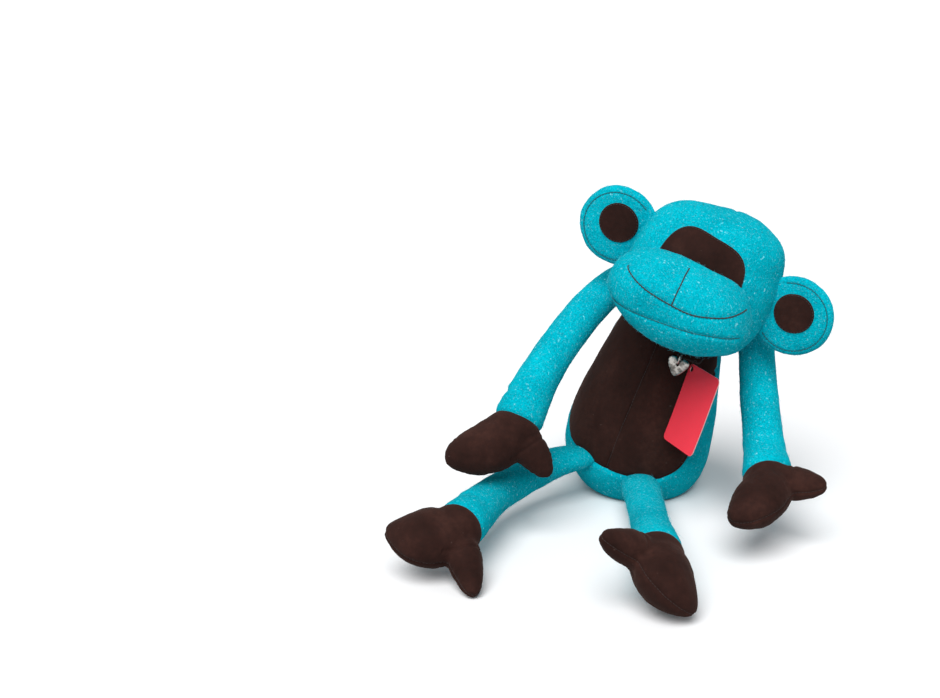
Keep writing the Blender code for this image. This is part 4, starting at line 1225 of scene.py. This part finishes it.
def mitt(kind, name, place, neck, form, arm_ovals, bodies, seed):
    """A stuffed hand or foot: palm and back sewn together round the edge, with puckers along the seam."""
    suede = soft_form(kind + "_suede_" + name, lobe_ovals(place, neck, form), 8, 3, SUEDE_BROWN)
    boolean(suede, "UNION", soft_form("thumb", thumb_ovals(place, form), 6, 3, SUEDE_BROWN))
    boolean(suede, "UNION", soft_form("heel", limb_end(arm_ovals, HEEL_FORM), 8, 3, SUEDE_BROWN))
    remesh = suede.modifiers.new("remesh", "REMESH")
    remesh.mode = "VOXEL"
    remesh.voxel_size = 1.9 * MM
    even = suede.modifiers.new("even", "SMOOTH")
    even.factor = 0.5
    even.iterations = 7
    applied(suede)
    subdivided(suede, 1)
    inside = place.inverted()
    base = Vector((math.cos(form.thumb_angle), math.sin(form.thumb_angle), 0)) * 0.40 * form.thumb_reach
    way = base.normalized()

    def outward(spot):
        own = inside @ spot
        free = faded(own.x, -8 * MM, 4 * MM)
        made = free * (0.9 * MM * lumps(spot, 17 * MM, seed) + 0.35 * MM * lumps(spot, 6 * MM, seed + 1))
        made += free * groove(abs(own.z), 1.2 * MM, 1.6 * MM)
        pucker = math.exp(-((abs(own.z) - 3.5 * MM) / (3 * MM)) ** 2)
        made += free * 0.45 * MM * pucker * lumps(spot, 3.4 * MM, seed + 2)
        out_of_hand = own - base
        side = out_of_hand - way * out_of_hand.dot(way)
        if own.y > 0 and side.length < 1.7 * THUMB_RADIUS:
            made += groove(abs(out_of_hand.dot(way)), 1.0 * MM, 1.6 * MM)
        return made

    pressed(suede, outward)
    suede.data.materials.clear()
    suede.data.materials.append(SUEDE_BROWN)
    suede.data.shade_smooth()
    rested(suede)
    line = middle_seam(suede, place, -2 * MM)
    row = stitches(kind + "_stitches_" + name, line, 2.4 * MM, 0.5 * MM, 0.26 * MM, DARK_THREAD, 0.5)
    along = (arm_ovals[-1].centre - arm_ovals[-2].centre).normalized()
    joint = place.translation
    for piece in (suede, row):
        bend(piece, *bodies, joint - along * BEND_START, joint - along * BEND_END)
    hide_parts(kind + "_skin_" + name, kind + "_filling_" + name)
    return suede


def shifted(start, route):
    return [start] + [start + Vector(step) * MM for step in route]


def ended_at_rim(points):
    along = (points[-1] - points[-2]).normalized()
    return points[:-1] + [points[-1] - along * SLEEVE_END]


def make_arm(name, side, seed):
    start = shoulder(side)
    points = shifted(start, ARM_ROUTES[name])
    inward = (start - points[1]).normalized() * SHOULDER_RADIUS
    heel = [start + 1.02 * inward, start + 0.62 * inward]
    radii = [share * SHOULDER_RADIUS for share in (0.32, 0.80, 0.98, 1.06)]
    radii += [ARM_MID_RADIUS, ARM_MID_RADIUS, WRIST_RADIUS]
    ovals = route_ovals(heel + ended_at_rim(points), [(r, r) for r in radii])
    neck = mitt_neck(WRIST_RADIUS)
    bodies = ("arm_" + name, "hand_" + name)
    felt = sleeve("arm", name, ovals, points[-1], *bodies, seed)
    suede = mitt("hand", name, mitt_frame(points[-1], HAND_AIMS[name]), neck, HAND, ovals, bodies, seed + 40)
    return felt, suede


def make_leg(name, side, seed):
    start = hip(side).translation
    points = shifted(start, LEG_ROUTES[name])
    outward = hip(side).to_3x3() @ Vector((0, -1, 0))
    heel = start - outward * 11 * MM
    seam = HIP_SEAM_WIDTH / 2
    sizes = [(0.86 * seam, 6 * MM), (seam, 11 * MM), (seam, 0.84 * LEG_MID_RADIUS)]
    sizes += [(LEG_MID_RADIUS, LEG_MID_RADIUS), (LEG_MID_RADIUS, LEG_MID_RADIUS)]
    sizes += [((LEG_MID_RADIUS + ANKLE_RADIUS) / 2,) * 2, (ANKLE_RADIUS,) * 2]
    ovals = route_ovals([heel] + ended_at_rim(points), sizes)
    neck = mitt_neck(ANKLE_RADIUS)
    bodies = ("leg_" + name, "foot_" + name)
    felt = sleeve("leg", name, ovals, points[-1], *bodies, seed)
    suede = mitt("foot", name, mitt_frame(points[-1], FOOT_AIMS[name]), neck, FOOT, ovals, bodies, seed + 40)
    return felt, suede


# Card and charm

def chest_depth(across):
    return CHEST_DEPTH / 2 * math.sqrt(1 - (2 * across / CHEST_WIDTH) ** 2)


BRIDGE = TORSO @ move(LOOP_SIDE, -chest_depth(LOOP_SIDE) - LOOP_REACH, PANEL_TOP - LOOP_DROP)
CHARM = BRIDGE @ move(-HANG_SPREAD, 0, 0) @ turn(-15 * DEG, "X")
TAG = BRIDGE @ move(HANG_SPREAD, 0, 0) @ turn(-14 * DEG, "X") @ turn(-45 * DEG, "Z")


def even_line(points, spacing, closed):
    """The same line, with its spots evenly apart."""
    line = points + points[:1] if closed else points
    total = sum((b - a).length for a, b in zip(line, line[1:]))
    count = max(8, int(total / spacing))
    made = []
    walked = 0.0
    k = 0
    for step in range(count if closed else count + 1):
        goal = total * step / count
        while k < len(line) - 2 and walked + (line[k + 1] - line[k]).length < goal:
            walked += (line[k + 1] - line[k]).length
            k += 1
        run = (line[k + 1] - line[k]).length
        made.append(line[k].lerp(line[k + 1], min(1, (goal - walked) / run)))
    return made, total


def arc(centre, x_axis, y_axis, start, end, steps):
    angles = [start + (end - start) * k / steps for k in range(steps + 1)]
    return [Vector(centre) + math.cos(a) * Vector(x_axis) + math.sin(a) * Vector(y_axis) for a in angles]


def make_loop():
    inset = LOOP_WIDTH / 2 - LOOP_CORNER
    x_axis = (LOOP_CORNER, 0, 0)
    y_axis = (0, LOOP_CORNER, 0)

    def root(end):
        across = end * LOOP_WIDTH / 2
        behind = chest_depth(LOOP_SIDE) + LOOP_REACH - chest_depth(LOOP_SIDE + across) + LOOP_ROOT
        return Vector((across, behind, 0))

    points = [root(-1)] + arc((-inset, LOOP_CORNER, 0), x_axis, y_axis, math.pi, 1.5 * math.pi, 8)
    points += arc((inset, LOOP_CORNER, 0), x_axis, y_axis, 1.5 * math.pi, 2 * math.pi, 8) + [root(1)]
    path, _ = even_line([BRIDGE @ point for point in points], 0.35 * MM, False)
    loop = twisted("loop_thread", path, LOOP_WIRE_RADIUS, 14, DARK_THREAD, False)
    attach(loop, "torso")
    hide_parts("hang_loop")


def make_string():
    half = LOOP_WIRE_RADIUS / math.cos(45 * DEG) + STRING_RADIUS + GAP
    axes = [TAG.to_3x3() @ Vector(axis) * half for axis in ((0, 1, 0), (0, 0, 1))]
    points = arc(TAG @ Vector((0, 0, 0)), *axes, 0, math.pi, 12)
    points += arc(TAG @ Vector((0, 0, -STRING_DROP)), *axes, math.pi, 2 * math.pi, 12)
    path, _ = even_line(points, 0.25 * MM, True)
    string = twisted("tag_thread", path, STRING_RADIUS, 12, DARK_THREAD, True)
    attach(string, "tag")
    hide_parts("tag_string")


def make_card():
    """A bare card with round corners and a punched hole, bent a little down its length."""
    half = LOOP_WIRE_RADIUS / math.cos(45 * DEG) + STRING_RADIUS + GAP
    drop = STRING_DROP + half + TAG_HOLE_RADIUS - STRING_RADIUS - GAP
    low = Vector((-TAG_HOLE_EDGE, TAG_HOLE_EDGE - drop - TAG_LENGTH))
    high = Vector((TAG_WIDTH - TAG_HOLE_EDGE, TAG_HOLE_EDGE - drop))
    inset = Vector((TAG_CORNER, TAG_CORNER))
    corners = (low + inset, high - inset)
    outline = []
    for quarter, (x, z) in enumerate(((1, 1), (0, 1), (0, 0), (1, 0))):
        centre = Vector((corners[x].x, corners[z].y))
        for step in range(9):
            angle = (quarter + step / 8) * math.pi / 2
            outline.append(centre + TAG_CORNER * Vector((math.cos(angle), math.sin(angle))))
    made = prism("card_red", outline, Matrix.Identity(4), -TAG_THICKNESS / 2, TAG_THICKNESS / 2)
    through = Vector((0, 3 * TAG_THICKNESS, 0))
    middle = Vector((0, 0, -drop))
    boolean(made, "DIFFERENCE", rod("card_hole", middle - through, middle + through, TAG_HOLE_RADIUS, 32))
    bm = bmesh.new()
    bm.from_mesh(made.data)
    rims = [e for e in bm.edges if len(e.link_faces) == 2 and e.calc_face_angle() > 60 * DEG]
    bmesh.ops.bevel(bm, geom=rims, offset=0.12 * MM, segments=2, affect="EDGES")
    for axis, count, start, run in ((0, 6, low.x, TAG_WIDTH), (2, 14, low.y, TAG_LENGTH)):
        for k in range(1, count):
            spot = Vector((0, 0, 0))
            spot[axis] = start + run * k / count
            way = Vector((0, 0, 0))
            way[axis] = 1
            everything = bm.verts[:] + bm.edges[:] + bm.faces[:]
            bmesh.ops.bisect_plane(bm, geom=everything, plane_co=spot, plane_no=way)
    for spot in bm.verts:
        down = min(max((high.y - spot.co.z) / TAG_LENGTH, 0), 1)
        spot.co.y += 0.9 * MM * math.sin(math.pi * down) * down
    bmesh.ops.transform(bm, matrix=TAG, verts=bm.verts)
    bm.to_mesh(made.data)
    bm.free()
    made.data.materials.clear()
    facing = TAG.to_3x3() @ Vector((0, 1, 0))
    made.data.materials.append(card_material("card_look", CARD_RED, facing))
    made.data.set_sharp_from_angle(angle=35 * DEG)
    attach(made, "tag")
    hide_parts("swing_tag")


def make_heart():
    """A plump heart, crowned on both faces, with a hole for the ring."""
    ring_drop = RING_RADIUS - RING_WIRE_RADIUS - LOOP_WIRE_RADIUS - GAP
    drop = ring_drop + RING_RADIUS + HEART_HOLE_RADIUS - RING_WIRE_RADIUS - GAP
    half = [(0, 0.22), (0.23, 0.34), (0.48, 0.19), (0.39, -0.14), (0, -0.52)]
    corners = half + [(-x, z) for x, z in reversed(half[1:-1])]
    outline = smooth_line([(x * HEART_WIDTH, z * HEART_WIDTH) for x, z in corners], 10, closed=True)
    place = CHARM @ move(0, 0, -drop)
    middle = Vector((0, -0.06 * HEART_WIDTH))
    bm = bmesh.new()
    layers = []
    for facing in (-1, 1):
        rings = []
        for share in (0.08, 0.3, 0.52, 0.7, 0.84, 0.93, 0.98, 1.0):
            swell = 0.5 if facing > 0 else 0.95
            crown = HEART_THICKNESS * (0.22 + swell * math.sqrt(max(0, 1 - share ** 2.2)))
            spots = [middle + (point - middle) * share for point in outline]
            rings.append([bm.verts.new(place @ Vector((p.x, facing * crown, p.y))) for p in spots])
        bm.faces.new(rings[0])
        for low, high in zip(rings, rings[1:]):
            strip(bm, low, high)
        layers.append(rings)
    strip(bm, layers[0][-1], layers[1][-1])
    heart = new_piece("heart_silver", bm, SILVER)
    through = Vector((0, 4 * HEART_THICKNESS, 0))
    hole = Vector((0, 0, HEART_HOLE_LIFT))
    cutter = rod("heart_hole", place @ (hole - through), place @ (hole + through), HEART_HOLE_SHOWN, 32)
    boolean(heart, "DIFFERENCE", cutter)
    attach(heart, "charm")
    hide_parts("heart_charm")


# Making

torso = make_torso()
make_neck()
head_piece = make_head()
muzzle_piece = make_muzzle()
ears = {name: make_ear(name, side) for name, side in SIDES.items()}
arms = {name: make_arm(name, side, 50 + side) for name, side in SIDES.items()}
legs = {name: make_leg(name, side, 60 + side) for name, side in SIDES.items()}
make_loop()
make_string()
make_card()
make_heart()

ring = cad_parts["charm_ring"]
ring.data.materials.clear()
ring.data.materials.append(SILVER)


# Loose wool on every felt piece, kept off the pieces of other bodies

def grow_wool():
    coats = [("torso", torso, 2200, "torso")]
    coats += [("head", head_piece, 2600, "head"), ("muzzle", muzzle_piece, 2600, "head")]
    coats += [("ear_" + name, ears[name], 900, "ear_" + name) for name in SIDES]
    coats += [("arm_" + name, arms[name][0], 1700, "arm_" + name) for name in SIDES]
    coats += [("leg_" + name, legs[name][0], 1500, "leg_" + name) for name in SIDES]
    solid = {}
    for name, piece, count, body in coats:
        solid.setdefault(body, []).append(tree_of(piece))
    for name in SIDES:
        solid.setdefault("hand_" + name, []).append(tree_of(arms[name][1]))
        solid.setdefault("foot_" + name, []).append(tree_of(legs[name][1]))
    bare = [tree_of(bpy.data.objects[name]) for name in ("face_suede", "ear_suede_left", "ear_suede_right")]
    for k, (name, piece, count, body) in enumerate(coats):
        others = [tree for other, trees in solid.items() if other != body for tree in trees]
        covered = [] if name == "muzzle" else bare
        room = 10 * MM if piece in (legs["left"][0], legs["right"][0]) else 4 * MM

        def clear(spot):
            if spot.z < 3 * MM:
                return False
            if any(tree.find_nearest(spot, 3 * MM)[0] for tree in covered):
                return False
            return all(tree.find_nearest(spot, room)[0] is None for tree in others)

        wool = fibres(name + "_wool", piece, count, 3.4 * MM, 100 + k, clear)
        if piece.name in bends:
            bend(wool, *bends[piece.name])
        else:
            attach(wool, body)


grow_wool()
